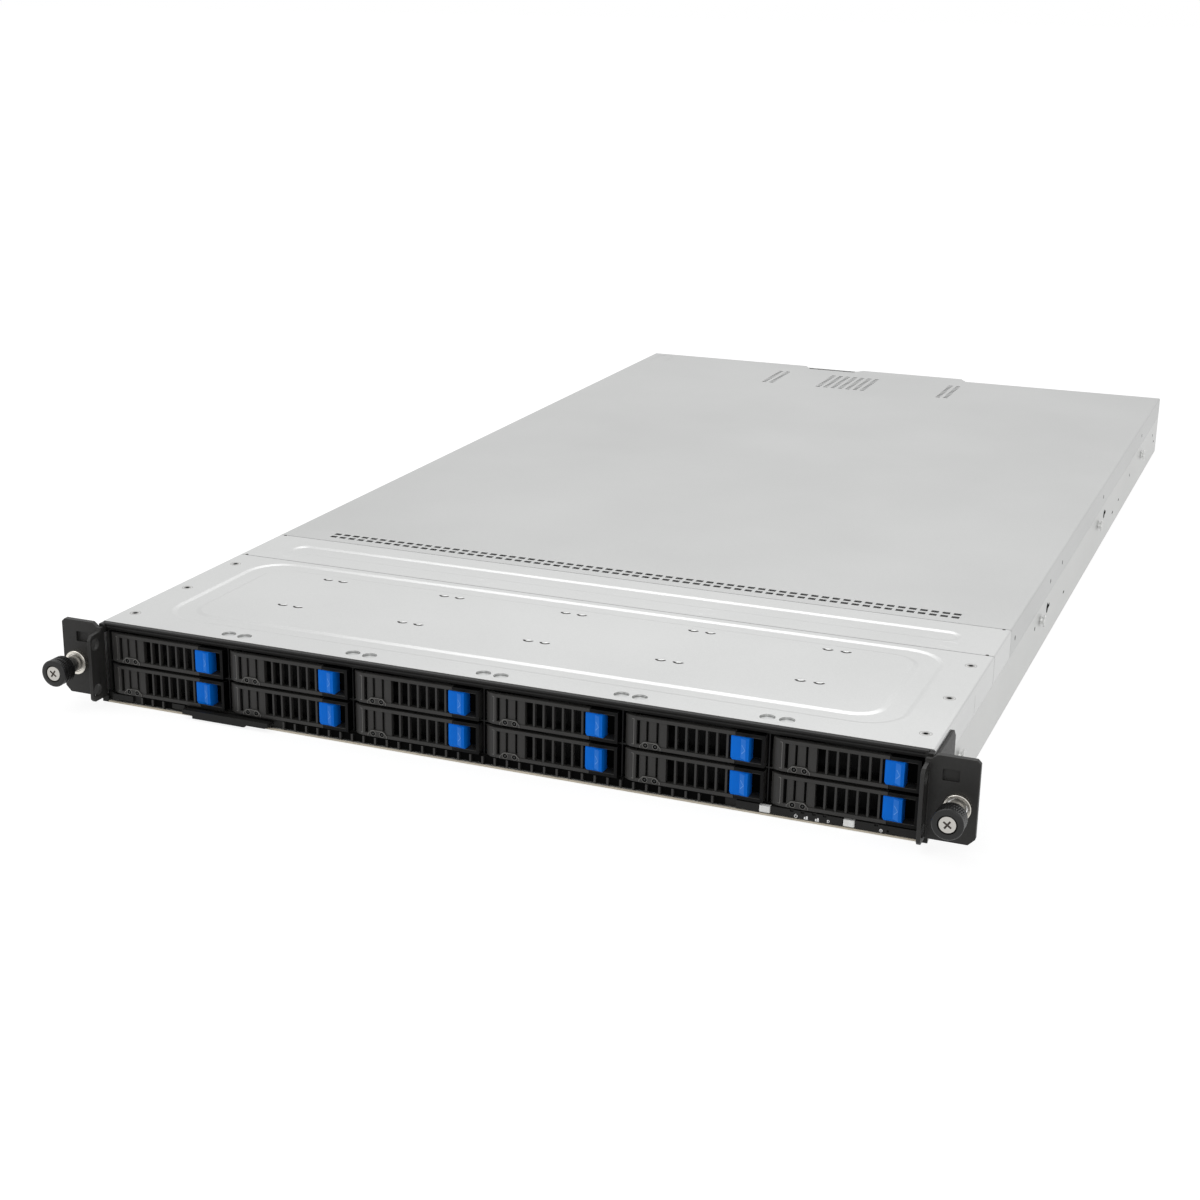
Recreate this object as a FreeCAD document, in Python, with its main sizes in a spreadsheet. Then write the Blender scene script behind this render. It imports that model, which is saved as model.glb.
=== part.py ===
"""A 1U rack server with twelve front drive bays, built as separate pieces.

X runs to the right, Y to the back and Z up.  Every height and side-to-side size is taken
from the middle of the chassis floor.  Depths are taken from the front edge of the front
top cover, and each finished piece is then moved so that the middle of the whole server
lies over the origin.
"""
import FreeCAD, Part
import math
import os
from types import SimpleNamespace

import Sketcher

SIZES = {
    # Sheet-metal body
    "body_width": 439.5,
    "body_height": 43.6,
    "sheet": 1.0,
    "wall_joggle": 1.0,
    "cover_sheet": 0.9,
    "cover_flange": 15.0,
    "flange_gap": 0.2,
    "lid_gap": 0.1,
    "floor_lead": 3.5,
    "chassis_depth": 829.0,
    "rear_step": 9.5,
    "rear_split": 59.0,
    "window_gap": 0.4,
    "wall_vent_height": 8.0,
    "bay_wall_lead": 6.0,
    # Top covers
    "front_cover_depth": 135.3,
    "middle_cover_depth": 45.2,
    "cover_seam": 0.5,
    "groove_depth": 0.7,
    "groove_side": 20.0,
    "groove_front": 18.0,
    "groove_back": 5.0,
    "groove_land": 13.5,
    "groove_corner": 20.0,
    "strip_groove_width": 13.0,
    "strip_groove_side": 22.0,
    "strip_groove_front": 17.0,
    "strip_groove_corner": 6.3,
    "vent_long": 16.24,
    "vent_wide": 2.2,
    "vent_pitch": 18.21,
    "vent_row_pitch": 5.4,
    "vent_front": 8.0,
    "rear_vent_long": 53.0,
    "rear_vent_wide": 3.4,
    "rear_vent_column_pitch": 6.2,
    "rear_vent_reach": 21.0,
    "left_vent_x": -94.5,
    "middle_vent_x": -48.0,
    "right_vent_x": 52.0,
    "cover_notch_left": -79.5,
    "cover_notch_right": -29.5,
    "cover_notch_depth": 11.0,
    "cover_notch_slant": 6.0,
    "cover_corner_gap": 2.0,
    # Side studs for the rails
    "stud_height": 19.2,
    "stud_first": 57.7,
    "stud_pitch": 222.8,
    "stud_shank_radius": 2.2,
    "stud_shank_length": 1.7,
    "stud_head_radius": 3.6,
    "stud_head_length": 1.2,
    # Bays
    "bay_pitch": 72.0,
    "row_pitch": 17.3,
    "bay_floor": 5.25,
    "cage_sheet": 0.6,
    "cage_depth": 118.0,
    "cage_clearance": 0.25,
    # Carriers, in the frame of one bay
    "front_plane": 4.0,
    "bezel_thickness": 3.0,
    "bezel_low": 0.55,
    "bezel_height": 15.6,
    "carrier_gap": 0.5,
    "tray_sheet": 0.5,
    "tray_lead": 2.6,
    "tray_length": 110.0,
    "post_front": 5.2,
    "post_back": 6.8,
    "pin_seat": 0.5,
    "tray_floor": 0.3,
    "rail_height": 9.0,
    "drive_width": 69.85,
    "drive_length": 100.2,
    "drive_height": 14.8,
    "drive_front": 9.0,
    "drive_bevel": 1.0,
    "latch_left": 53.6,
    "latch_split": 56.9,
    "latch_right": 70.9,
    "latch_back": 6.0,
    "frame_bar": 1.5,
    "frame_return": 0.3,
    "pocket_wall": 0.6,
    "pocket_depth": 7.6,
    # Levers
    "lever_left": 2.2,
    "lever_flat_left": 7.9,
    "lever_tip_front": 1.5,
    "lever_tip_back": 0.7,
    "lever_curve_x": 1.4,
    "lever_curve_front": 2.6,
    "lever_shoulder": 2.0,
    "lever_shoulder_drop": 0.4,
    "lever_end_gap": 0.25,
    "lever_slot_first": 23.4,
    "lever_slot_width": 3.95,
    "lever_slot_pitch": 5.0,
    "lever_slot_height": 11.4,
    "lever_slot_low": 2.1,
    "lever_notch_left": 53.2,
    "pivot_x": 4.7,
    "pivot_y": 1.0,
    "pivot_radius": 0.8,
    "pivot_clearance": 0.08,
    "lug_half": 1.6,
    "lug_low": 4.6,
    "lug_high": 12.1,
    "lug_gap": 0.3,
    "lug_thickness": 2.2,
    "lug_root": 1.6,
    "lug_root_reach": 1.5,
    "tray_lug_root": 5.6,
    "lamp_boss_left": 10.4,
    "lamp_boss_right": 20.3,
    "lamp_boss_height": 3.4,
    "lamp_boss_side": 1.4,
    "lamp_boss_slope": 1.6,
    # Release buttons
    "button_left": 54.75,
    "button_width": 9.2,
    "button_low": 2.45,
    "button_height": 11.9,
    "button_proud": 2.0,
    "button_depth": 5.2,
    "button_ridge": 4.9,
    "button_ridge_drop": 0.5,
    "button_face_drop": 0.2,
    "button_band": 1.4,
    "button_foot": 2.0,
    "button_foot_rise": 1.0,
    "button_brow": 0.9,
    "button_brow_fall": 0.6,
    # Front bezel
    "lip_low": 41.3,
    "lip_lead": 3.2,
    "lip_step": 0.5,
    "lip_tail": 6.0,
    "lip_tongue": 0.3,
    "lip_bevel": 0.5,
    "lip_gap": 0.1,
    "lip_channel_low": 0.6,
    "lip_channel_high": 1.5,
    "lip_channel_slope": 0.3,
    "bezel_side": 217.4,
    "bezel_bar": 0.8,
    "strip_face": 2.4,
    "strip_gap": 0.2,
    "post_overlap": 0.15,
    "rib_pitch": 6.545,
    "rib_width": 1.1,
    "rib_proud": 1.4,
    "rib_first": -195.6,
    "rib_low": 0.3,
    "rib_root": 2.0,
    "side_tab_left": -213.6,
    "side_tab_width": 12.4,
    "side_tab_low": 1.9,
    "tag_tab_offset": 8.8,
    "tag_tab_width": 7.6,
    "tag_tab_low": 2.4,
    "rib_tag_room": 10.5,
    "rib_tag_end": 2.0,
    "panel_left": 130.2,
    "panel_face": 4.2,
    "panel_right": 215.4,
    "panel_key_room": 0.4,
    "panel_top_gap": 0.1,
    "notch_width": 1.7,
    "notch_depth": 0.9,
    "notch_height": 1.1,
    "key_hole_gap": 0.25,
    "key_hole_rise": 0.2,
    "key_width": 5.2,
    "key_height": 3.1,
    "key_low": 1.7,
    "key_proud": 0.5,
    "key_travel": 1.0,
    "key_stop": 0.3,
    "key_stem": 2.0,
    "key_bevel": 0.4,
    "panel_board_front": 2.6,
    "panel_board_sheet": 1.6,
    "panel_board_inset": 2.0,
    "panel_board_right": 214.0,
    "key_stem_root": 0.5,
    "power_key_x": 144.1,
    "id_key_x": 183.8,
    # Pull-out tag
    "tag_left": -168.2,
    "tag_width": 50.8,
    "tag_length": 70.0,
    "tag_sheet": 1.2,
    "tag_height": 3.0,
    "tag_lead": 8.3,
    "tag_gap": 0.3,
    "tag_grip_length": 3.4,
    "tag_grip_low": 0.8,
    "tag_grip_high": 0.5,
    "tag_lip_length": 2.2,
    "tag_lip_low": 0.5,
    "tag_lip_left": 6.0,
    "tag_lip_width": 31.0,
    "tag_lip_step": 1.2,
    "tag_lip_right": 1.5,
    # Rack ears
    "ear_span": 482.6,
    "ear_face": 6.5,
    "ear_thickness": 3.0,
    "ear_low": 3.4,
    "ear_high": 43.9,
    "ear_corner": 3.2,
    "ear_wall_gap": 0.05,
    "ear_neck": 2.6,
    "ear_neck_drop": 2.2,
    "ear_side_bevel": 4.0,
    "ear_side_length": 38.0,
    "ear_side_low": 6.0,
    "ear_side_high": 41.0,
    "ear_side_sheet": 1.5,
    "tab_inner": 217.0,
    "tab_thickness": 2.0,
    "tab_reach": 9.5,
    "tab_top": 39.5,
    "tab_bevel": 1.5,
    "tab_slope": 2.0,
    "tab_hole_radius": 3.2,
    "tab_hole_low": 9.2,
    "tab_hole_pitch": 25.0,
    "tab_hole_reach": 5.5,
    "window_x": 228.7,
    "window_width": 7.6,
    "window_height": 5.5,
    "window_low": 32.4,
    "window_depth": 1.8,
    # Thumbscrews
    "screw_x": 232.55,
    "screw_z": 21.0,
    "knob_face": 28.0,
    "knob_radius": 7.2,
    "knob_length": 9.8,
    "shaft_radius": 4.2,
    "ferrule_bore": 4.7,
    "ferrule_radius": 6.4,
    "ferrule_flange": 2.6,
    "ferrule_neck": 5.3,
    "stud_radius": 2.5,
    "stud_reach": 9.0,
    "neck_radius": 2.1,
    "neck_reach": 0.2,
    "shaft_stop": 0.4,
    # Drive backplane
    "backplane_sheet": 2.0,
    "backplane_side": 5.0,
    "backplane_foot": 0.5,
    "connector_rise": 1.6,
    "air_slot_width": 46.0,
    "air_slot_height": 6.0,
    "connector_width": 42.0,
    "connector_height": 5.0,
    "connector_reach": 8.3,
    # Fans
    "fan_count": 8,
    "fan_pitch": 50.0,
    "fan_side": 40.0,
    "fan_depth": 56.0,
    "fan_front": 205.0,
    "fan_bore": 19.0,
    "fan_hub": 9.5,
    "fan_tip": 17.2,
    "fan_gap": 0.4,
    "blade_count": 5,
    "strut_width": 3.0,
    "strut_length": 3.0,
    "fan_sweep": 0.24,
    "fan_blade_half": 0.1,
    # Main board
    "board_front": 292.0,
    "board_back": 834.0,
    "board_step": 622.0,
    "board_side": 214.0,
    "board_right": 60.0,
    "board_height": 6.0,
    "board_sheet": 1.8,
    "riser_x": -44.0,
    "riser_length": 130.0,
    "riser_top": 37.0,
    "riser_back": 8.0,
    "board_split_gap": 4.0,
    "standoff_side": 6.0,
    "processor_width": 70.0,
    "processor_length": 95.0,
    "processor_inset": 10.0,
    "socket_wall": 1.6,
    "socket_length": 16.0,
    "socket_mouth": 12.0,
    "socket_proud": 0.6,
    "cpu_x": 106.0,
    "cpu_y": 372.0,
    "sink_width": 78.0,
    "sink_length": 116.0,
    "sink_base": 5.0,
    "sink_top": 38.0,
    "socket_height": 5.0,
    "fin_thickness": 1.2,
    "fin_pitch": 6.4,
    "fin_count": 12,
    "dimm_count": 6,
    "dimm_pitch": 7.4,
    "dimm_length": 133.0,
    "dimm_thickness": 3.2,
    "dimm_gap": 5.0,
    "dimm_top": 37.5,
    "dimm_lead": 8.0,
    # Power supplies
    "psu_width": 73.5,
    "psu_height": 39.4,
    "psu_length": 185.0,
    "psu_gap": 0.4,
    "psu_side_gap": 1.6,
    "psu_wall": 0.8,
    "inlet_width": 24.5,
    "inlet_height": 17.0,
    "inlet_depth": 15.0,
    "inlet_x": 20.0,
    "inlet_low": 4.0,
    "handle_reach": 22.0,
    "handle_width": 26.0,
    "handle_height": 31.0,
    "handle_bar": 4.0,
    "handle_x": 46.0,
    "psu_lift": 0.2,
    "psu_vent_left": 4.0,
    "psu_vent_width": 29.0,
    "psu_vent_low": 23.4,
    "psu_vent_pitch": 3.75,
    "psu_vent_height": 2.2,
    "psu_vent_depth": 3.0,
    "blade_side": 2.0,
    "blade_height": 4.0,
    "blade_inset": 4.0,
    "latch_root": 5.0,
    "latch_slot_depth": 6.0,
    "latch_slot_gap": 0.4,
    "latch_thumb": 3.0,
    "latch_thumb_top": 1.5,
    "latch_arm": 1.2,
    "latch_arm_reach": 2.0,
    "latch_width": 5.0,
    "latch_height": 14.0,
    "latch_reach": 13.0,
    "latch_travel": 2.5,
    "latch_x": 66.5,
}

# One row of the drive cage holds this many bays, and the cage has this many rows.
BAY_COLUMNS = 6
BAY_ROWS = 2
LEVER_SLOTS = 6
STUDS_A_SIDE = 4

# Slots of the rear cover: in each front row, and in the middle and side fields behind
VENT_SLOTS = 21
MIDDLE_VENT_COLUMNS = 7
SIDE_VENT_COLUMNS = 2

# Flat sides that stand for a full round on small turned pieces
STUD_HEAD_SIDES = 12
STUD_SHANK_SIDES = 8
PIN_SIDES = 10
KNOB_SIDES = 24
COLLAR_SIDES = 16
SHAFT_SIDES = 12
NECK_SIDES = 8
FAN_DUCT_SIDES = 8

# Share of a corner radius that a straight corner cut takes: outside and inside the arc
CUT_OUTSIDE_ARC = 0.58
CUT_INSIDE_ARC = 1.0

# Rear sockets: name, centre, width, lowest edge and height
SOCKETS = (
    ("serial", -186.0, 31.0, 8.6, 11.0),
    ("screen", -150.0, 31.0, 8.6, 11.0),
    ("usb", -121.0, 14.0, 8.2, 14.0),
    ("lan_a", -99.0, 16.4, 8.2, 13.6),
    ("lan_b", -81.0, 16.4, 8.2, 13.6),
    ("service", -58.0, 16.4, 8.2, 13.6),
)

# Vents in the rear wall: name, left edge, lowest edge, width, pitch and count
WALL_VENTS = (
    ("board", -206.0, 29.0, 19.0, 26.0, 4),
    ("card", -36.0, 29.0, 19.4, 22.4, 4),
    ("network", -34.0, 9.0, 18.0, 21.4, 4),
)

# Lamp notches of the control panel, to the right of the power key
LAMP_NOTCHES = (12.9, 18.0, 23.4, 28.4)
RESET_NOTCH = 52.3

# Posts under the main board, across and along
STANDOFFS = ((-200, 310), (200, 310), (-200, 600), (200, 600), (-200, 820), (40, 820))

# Slots of a power supply's grille, and its inlet's blades: across from the middle of the
# inlet and up from its lowest edge
PSU_VENTS = 4
INLET_BLADES = ((-7.0, 6.0), (7.0, 6.0), (0.0, 11.0))

# How far a cutting tool reaches past the face that it opens
PAST = 1.0

# Normal directions of the three sketch planes, and the way a sketch is shifted along them
PLANES = {"XY": 1, "XZ": -1, "YZ": 1}

doc = FreeCAD.newDocument("rack_server")
sheet = doc.addObject("Spreadsheet::Sheet", "dims")


class Size:
    """A length together with the sheet formula that gives it."""

    def __init__(self, value, text):
        self.value = value
        self.text = text

    def __add__(self, other):
        other = as_size(other)
        return Size(self.value + other.value, f"({self.text} + {other.text})")

    def __radd__(self, other):
        return as_size(other) + self

    def __sub__(self, other):
        other = as_size(other)
        return Size(self.value - other.value, f"({self.text} - {other.text})")

    def __rsub__(self, other):
        return as_size(other) - self

    def __mul__(self, other):
        other = as_size(other)
        return Size(self.value * other.value, f"({self.text} * {other.text})")

    def __rmul__(self, other):
        return as_size(other) * self

    def __truediv__(self, other):
        other = as_size(other)
        return Size(self.value / other.value, f"({self.text} / {other.text})")

    def __neg__(self):
        return Size(-self.value, f"(-1 * {self.text})")


def as_size(number):
    """A plain number becomes a size whose formula is that number."""
    if isinstance(number, Size):
        return number
    return Size(float(number), f"({float(number):.9g})")


def fill_sheet():
    """Write every driving size to the sheet and return the sizes by name."""
    sizes = {}
    for row, (name, value) in enumerate(SIZES.items(), start=1):
        sheet.set(f"A{row}", name.replace("_", " "))
        sheet.set(f"B{row}", str(value))
        sheet.setAlias(f"B{row}", name)
        sizes[name] = Size(float(value), f"dims.{name}")
    doc.recompute()
    return SimpleNamespace(**sizes)


d = fill_sheet()
half = d.body_width / 2
cover_low = d.body_height - d.cover_sheet
wall_top = cover_low - d.lid_gap
flange_low = d.body_height - d.cover_flange
ledge = flange_low - d.flange_gap
rear_cover_end = d.chassis_depth + d.rear_step
rear_reach = d.chassis_depth + d.handle_reach
mid_depth = (rear_reach - d.knob_face) / 2
seam_one = d.front_cover_depth + d.cover_seam
middle_end = seam_one + d.middle_cover_depth
rear_cover_start = middle_end + d.cover_seam
cage_top = d.bay_floor + BAY_ROWS * d.row_pitch
bays_left = -d.bay_pitch * BAY_COLUMNS / 2


def bind(item, prop, size):
    """Tie one property of a document object to a sheet formula."""
    item.setExpression(prop, as_size(size).text)


def place(item, x, y, z):
    """Tie the three coordinates of an object's placement."""
    bind(item, "Placement.Base.x", x)
    bind(item, "Placement.Base.y", y)
    bind(item, "Placement.Base.z", z)


def block(name, x, y, z):
    """A box between a low and a high plane along each axis."""
    box = doc.addObject("Part::Box", name)
    for prop, (low, high) in zip(("Length", "Width", "Height"), (x, y, z)):
        bind(box, prop, high - low)
    place(box, x[0], y[0], z[0])
    return box


def span(low, length):
    """A low and a high plane, given the low one and the distance between them."""
    return (as_size(low), low + as_size(length))


def around(centre, length):
    """A low and a high plane on both sides of a centre."""
    return (centre - as_size(length) / 2, centre + as_size(length) / 2)


def rod(name, radius, length, centre, axis="Z", sides=0):
    """A round bar, or one with flat sides, that starts at a centre and runs along an axis."""
    bar = doc.addObject("Part::Prism" if sides else "Part::Cylinder", name)
    if sides:
        bar.Polygon = sides
    bind(bar, "Circumradius" if sides else "Radius", radius)
    bind(bar, "Height", length)
    turns = {
        "X": FreeCAD.Rotation(FreeCAD.Vector(0, 1, 0), 90),
        "Y": FreeCAD.Rotation(FreeCAD.Vector(1, 0, 0), -90),
        "Z": FreeCAD.Rotation(),
    }
    bar.Placement = FreeCAD.Placement(FreeCAD.Vector(), turns[axis])
    place(bar, *centre)
    return bar


def fuse(name, *shapes):
    """One solid from several that touch or overlap."""
    fusion = doc.addObject("Part::MultiFuse", name)
    fusion.Shapes = list(shapes)
    fusion.Refine = True
    return fusion


def group(name, *shapes):
    """Several solids kept apart in one object."""
    compound = doc.addObject("Part::Compound", name)
    compound.Links = list(shapes)
    return compound


def cut(name, base, *tools):
    """The base without the tools."""
    difference = doc.addObject("Part::Cut", name)
    difference.Base = base
    difference.Tool = tools[0] if len(tools) == 1 else group(name + "_tools", *tools)
    return difference


def mirrored(name, source):
    """The same piece on the other side of the middle plane."""
    mirror = doc.addObject("Part::Mirroring", name)
    mirror.Source = source
    mirror.Normal = FreeCAD.Vector(1, 0, 0)
    return mirror


def new_body(name):
    return doc.addObject("PartDesign::Body", name)


def sketch_on(body, plane, name, at=0):
    """A sketch on one of the body's own origin planes, shifted along the axis across it."""
    sketch = body.newObject("Sketcher::SketchObject", name)
    role = plane + "_Plane"
    support = next(f for f in body.Origin.OriginFeatures if f.Role == role)
    sketch.AttachmentSupport = [(support, "")]
    sketch.MapMode = "FlatFace"
    bind(sketch, "AttachmentOffset.Base.z", PLANES[plane] * as_size(at))
    return sketch


def pin_vertex(sketch, edge, vertex, point):
    """Hold one end of an edge at a point given by two sizes."""
    for kind, size in zip(("DistanceX", "DistanceY"), point):
        constraint = Sketcher.Constraint(kind, -1, 1, edge, vertex, size.value)
        index = sketch.addConstraint(constraint)
        bind(sketch, f"Constraints[{index}]", size)


def outline(sketch, points):
    """A closed outline of straight edges through points that are tied to the sheet."""
    points = [(as_size(x), as_size(y)) for x, y in points]
    first = sketch.GeometryCount
    count = len(points)
    corners = [FreeCAD.Vector(x.value, y.value, 0) for x, y in points]
    for i in range(count):
        sketch.addGeometry(Part.LineSegment(corners[i], corners[(i + 1) % count]), False)
    for i in range(count):
        following = first + (i + 1) % count
        sketch.addConstraint(Sketcher.Constraint("Coincident", first + i, 2, following, 1))
    for i, point in enumerate(points):
        pin_vertex(sketch, first + i, 1, point)


def rectangle(sketch, x, y):
    """A closed rectangle between two planes each way."""
    outline(sketch, [(x[0], y[0]), (x[1], y[0]), (x[1], y[1]), (x[0], y[1])])


def cut_corner_rectangle(sketch, x, y, corner):
    """A closed rectangle with its four corners cut off straight."""
    (left, right), (low, high) = x, y
    outline(sketch, [
        (left + corner, low), (right - corner, low), (right, low + corner), (right, high - corner),
        (right - corner, high), (left + corner, high), (left, high - corner), (left, low + corner),
    ])


def regular_outline(sketch, x, y, radius, sides):
    """A closed outline of equal sides round a centre."""
    points = []
    for i in range(sides):
        angle = 2 * math.pi * i / sides
        points.append((x + radius * math.cos(angle), y + radius * math.sin(angle)))
    outline(sketch, points)


def rounded_rectangle(sketch, x, y, radius):
    """A closed rectangle with four equal round corners."""
    radius = as_size(radius)
    (x0, x1), (y0, y1) = x, y
    left, right = x0.value, x1.value
    low, high = y0.value, y1.value
    r = radius.value
    first = sketch.GeometryCount
    sides = [
        ((left + r, low), (right - r, low)),
        ((right, low + r), (right, high - r)),
        ((right - r, high), (left + r, high)),
        ((left, high - r), (left, low + r)),
    ]
    for start, end in sides:
        sketch.addGeometry(Part.LineSegment(FreeCAD.Vector(*start, 0), FreeCAD.Vector(*end, 0)), False)
    centres = [(right - r, low + r), (right - r, high - r), (left + r, high - r), (left + r, low + r)]
    quarter = math.pi / 2
    for i, centre in enumerate(centres):
        circle = Part.Circle(FreeCAD.Vector(*centre, 0), FreeCAD.Vector(0, 0, 1), r)
        begin = (i - 1) * quarter
        sketch.addGeometry(Part.ArcOfCircle(circle, begin, begin + quarter), False)
    for i in range(4):
        arc = first + 4 + i
        sketch.addConstraint(Sketcher.Constraint("Tangent", first + i, 2, arc, 1))
        sketch.addConstraint(Sketcher.Constraint("Tangent", arc, 2, first + (i + 1) % 4, 1))
    for i, kind in enumerate(("Horizontal", "Vertical", "Horizontal", "Vertical")):
        sketch.addConstraint(Sketcher.Constraint(kind, first + i))
    index = sketch.addConstraint(Sketcher.Constraint("Radius", first + 4, r))
    bind(sketch, f"Constraints[{index}]", radius)
    for i in range(1, 4):
        sketch.addConstraint(Sketcher.Constraint("Equal", first + 4, first + 4 + i))
    limits = (("DistanceY", y0), ("DistanceX", x1), ("DistanceY", y1), ("DistanceX", x0))
    for edge, (kind, size) in enumerate(limits):
        index = sketch.addConstraint(Sketcher.Constraint(kind, -1, 1, first + edge, 1, size.value))
        bind(sketch, f"Constraints[{index}]", size)


def hole_circle(sketch, x, y, radius):
    """A circle whose centre and radius are tied to the sheet."""
    x, y, radius = as_size(x), as_size(y), as_size(radius)
    centre = FreeCAD.Vector(x.value, y.value, 0)
    edge = sketch.addGeometry(Part.Circle(centre, FreeCAD.Vector(0, 0, 1), radius.value), False)
    pin_vertex(sketch, edge, 3, (x, y))
    index = sketch.addConstraint(Sketcher.Constraint("Radius", edge, radius.value))
    bind(sketch, f"Constraints[{index}]", radius)


def pad(body, sketch, length, name):
    """Grow the sketch: up from XY, to the back from XZ and to the right from YZ."""
    feature = body.newObject("PartDesign::Pad", name)
    feature.Profile = sketch
    bind(feature, "Length", length)
    feature.Reversed = sketch.Name.endswith("_xz")
    body.Tip = feature
    return feature


def pocket(body, sketch, depth, name):
    """Cut the sketch away: down from XY, to the back from XZ and to the right from YZ."""
    feature = body.newObject("PartDesign::Pocket", name)
    feature.Profile = sketch
    bind(feature, "Length", depth)
    feature.Reversed = sketch.Name.endswith("_yz")
    body.Tip = feature
    return feature


def repeat(body, feature, sketch, pitch, count, name):
    """Repeat a feature along its sketch's horizontal axis."""
    pattern = body.newObject("PartDesign::LinearPattern", name)
    pattern.Originals = [feature]
    pattern.Direction = (sketch, ["H_Axis"])
    bind(pattern, "Length", pitch * (count - 1))
    pattern.Occurrences = count
    body.Tip = pattern
    return pattern


def node(name, *pieces):
    """A finished sub-part: its pieces, moved so that the server's middle is the origin."""
    finished = doc.addObject("Part::Compound", name)
    finished.Label = name
    finished.Links = list(pieces)
    bind(finished, "Placement.Base.y", -mid_depth)
    return finished


def u_profile(body, name, start, end):
    """A folded cover: a flat top with a flange down each side, drawn from front to back."""
    sketch = sketch_on(body, "XZ", name + "_xz", start)
    inner = half - d.cover_sheet
    top = d.body_height
    outline(sketch, [
        (-half, flange_low), (-inner, flange_low), (-inner, cover_low), (inner, cover_low),
        (inner, flange_low), (half, flange_low), (half, top), (-half, top),
    ])
    return pad(body, sketch, end - start, name + "_fold")


def chassis_shell():
    """The folded tray: floor and two walls that step in behind the cover flanges."""
    body = new_body("chassis_shell")
    sketch = sketch_on(body, "XZ", "chassis_profile_xz", -d.floor_lead)
    upper = half - d.wall_joggle
    right = [
        (half, 0), (half, ledge), (upper, ledge), (upper, wall_top), (upper - d.sheet, wall_top),
        (upper - d.sheet, ledge - d.sheet), (half - d.sheet, ledge - d.sheet), (half - d.sheet, d.sheet),
    ]
    left = [(-as_size(x), z) for x, z in reversed(right)]
    outline(sketch, right + left)
    pad(body, sketch, rear_cover_end + d.floor_lead, "chassis_fold")
    corner = sketch_on(body, "XY", "rear_corner_cut", wall_top)
    rectangle(corner, (d.rear_split, half), (d.chassis_depth, rear_cover_end))
    pocket(body, corner, wall_top, "rear_corner")
    return body


def psu_left_edge(index):
    """Left face of a power supply; the right-hand one stands beside the chassis wall."""
    from_wall = half - d.wall_joggle - d.sheet - d.psu_side_gap
    step = d.psu_width + 2 * d.psu_gap + d.psu_wall
    return from_wall - d.psu_width - step * (1 - index)


def rear_wall_tools(back):
    """What is cut from the rear wall: a window for each socket, and the vents."""
    through = (back[0] - PAST, back[1] + PAST)
    tools = []
    for name, centre, width, low, height in SOCKETS:
        x = around(centre, width + 2 * d.window_gap)
        tools.append(block(name + "_window", x, through, span(low - d.window_gap, height + 2 * d.window_gap)))
    for name, first, low, width, pitch, count in WALL_VENTS:
        for i in range(count):
            x = span(first + i * pitch, width)
            tools.append(block(f"{name}_vent_{i}", x, through, span(low, d.wall_vent_height)))
    return tools


def rear_walls():
    """The stepped rear wall and the walls of the power supply bays."""
    back = (rear_cover_end - d.sheet, rear_cover_end)
    full = (as_size(0), wall_top)
    upper = half - d.wall_joggle
    wall = block("rear_wall", (-upper, d.rear_split), back, full)
    pierced = cut("rear_wall_pierced", wall, *rear_wall_tools(back))
    step_x = (d.rear_split - d.sheet, d.rear_split)
    step = block("rear_step_wall", step_x, (d.chassis_depth - d.sheet, rear_cover_end), full)
    bay_left = psu_left_edge(0) - d.psu_gap
    link_y = (d.chassis_depth - d.sheet, d.chassis_depth)
    link = block("rear_link_wall", (d.rear_split - d.sheet, bay_left), link_y, full)
    bay_y = (d.chassis_depth - d.psu_length - d.bay_wall_lead, d.chassis_depth)
    sides = []
    for index in (0, 1):
        right = psu_left_edge(index) - d.psu_gap
        sides.append(block(f"psu_bay_wall_{index}", (right - d.psu_wall, right), bay_y, full))
    return [pierced, step, link] + sides


def rail_studs():
    """Headed studs on both sides that hang in the slide rails."""
    studs = []
    root = half - d.sheet / 2
    shank = d.stud_shank_length + d.sheet / 2
    head = half + d.stud_shank_length
    for side, word in ((-1, "left"), (1, "right")):
        start = root if side > 0 else -(root + shank)
        head_start = head if side > 0 else -(head + d.stud_head_length)
        for i in range(STUDS_A_SIDE):
            name = f"rail_stud_{word}_{i}"
            y = d.stud_first + i * d.stud_pitch
            studs.append(rod(name + "_shank", d.stud_shank_radius, shank, (start, y, d.stud_height), "X",
                             STUD_SHANK_SIDES))
            studs.append(rod(name + "_head", d.stud_head_radius, d.stud_head_length,
                             (head_start, y, d.stud_height), "X", STUD_HEAD_SIDES))
    return studs


def base_chassis():
    return node("base_chassis", fuse("chassis_whole", chassis_shell(), *rear_walls(), *rail_studs()))


def ring_groove(body, x, y, radius, land, name):
    """A shallow pressed channel round a panel: sunk on top and standing out below."""
    inner_x = (x[0] + land, x[1] - land)
    inner_y = (y[0] + land, y[1] - land)
    inner_radius = radius - land / 2
    bulge = sketch_on(body, "XY", name + "_bulge", cover_low - d.groove_depth)
    cut_corner_rectangle(bulge, x, y, radius * CUT_OUTSIDE_ARC)
    cut_corner_rectangle(bulge, inner_x, inner_y, inner_radius * CUT_INSIDE_ARC)
    pad(body, bulge, d.groove_depth, name + "_bulge_pad")
    sink = sketch_on(body, "XY", name + "_sink", d.body_height)
    rounded_rectangle(sink, x, y, radius)
    rounded_rectangle(sink, inner_x, inner_y, inner_radius)
    pocket(body, sink, d.groove_depth, name + "_sink_pocket")


def front_top_cover():
    """The fixed cover over the drive cage, stiffened by a pressed ring groove."""
    body = new_body("front_cover_body")
    u_profile(body, "front_cover", as_size(0), d.front_cover_depth)
    x = (-half + d.groove_side, half - d.groove_side)
    y = (d.groove_front, d.front_cover_depth - d.groove_back)
    ring_groove(body, x, y, d.groove_corner, d.groove_land, "front_groove")
    return node("front_top_cover", body)


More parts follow.
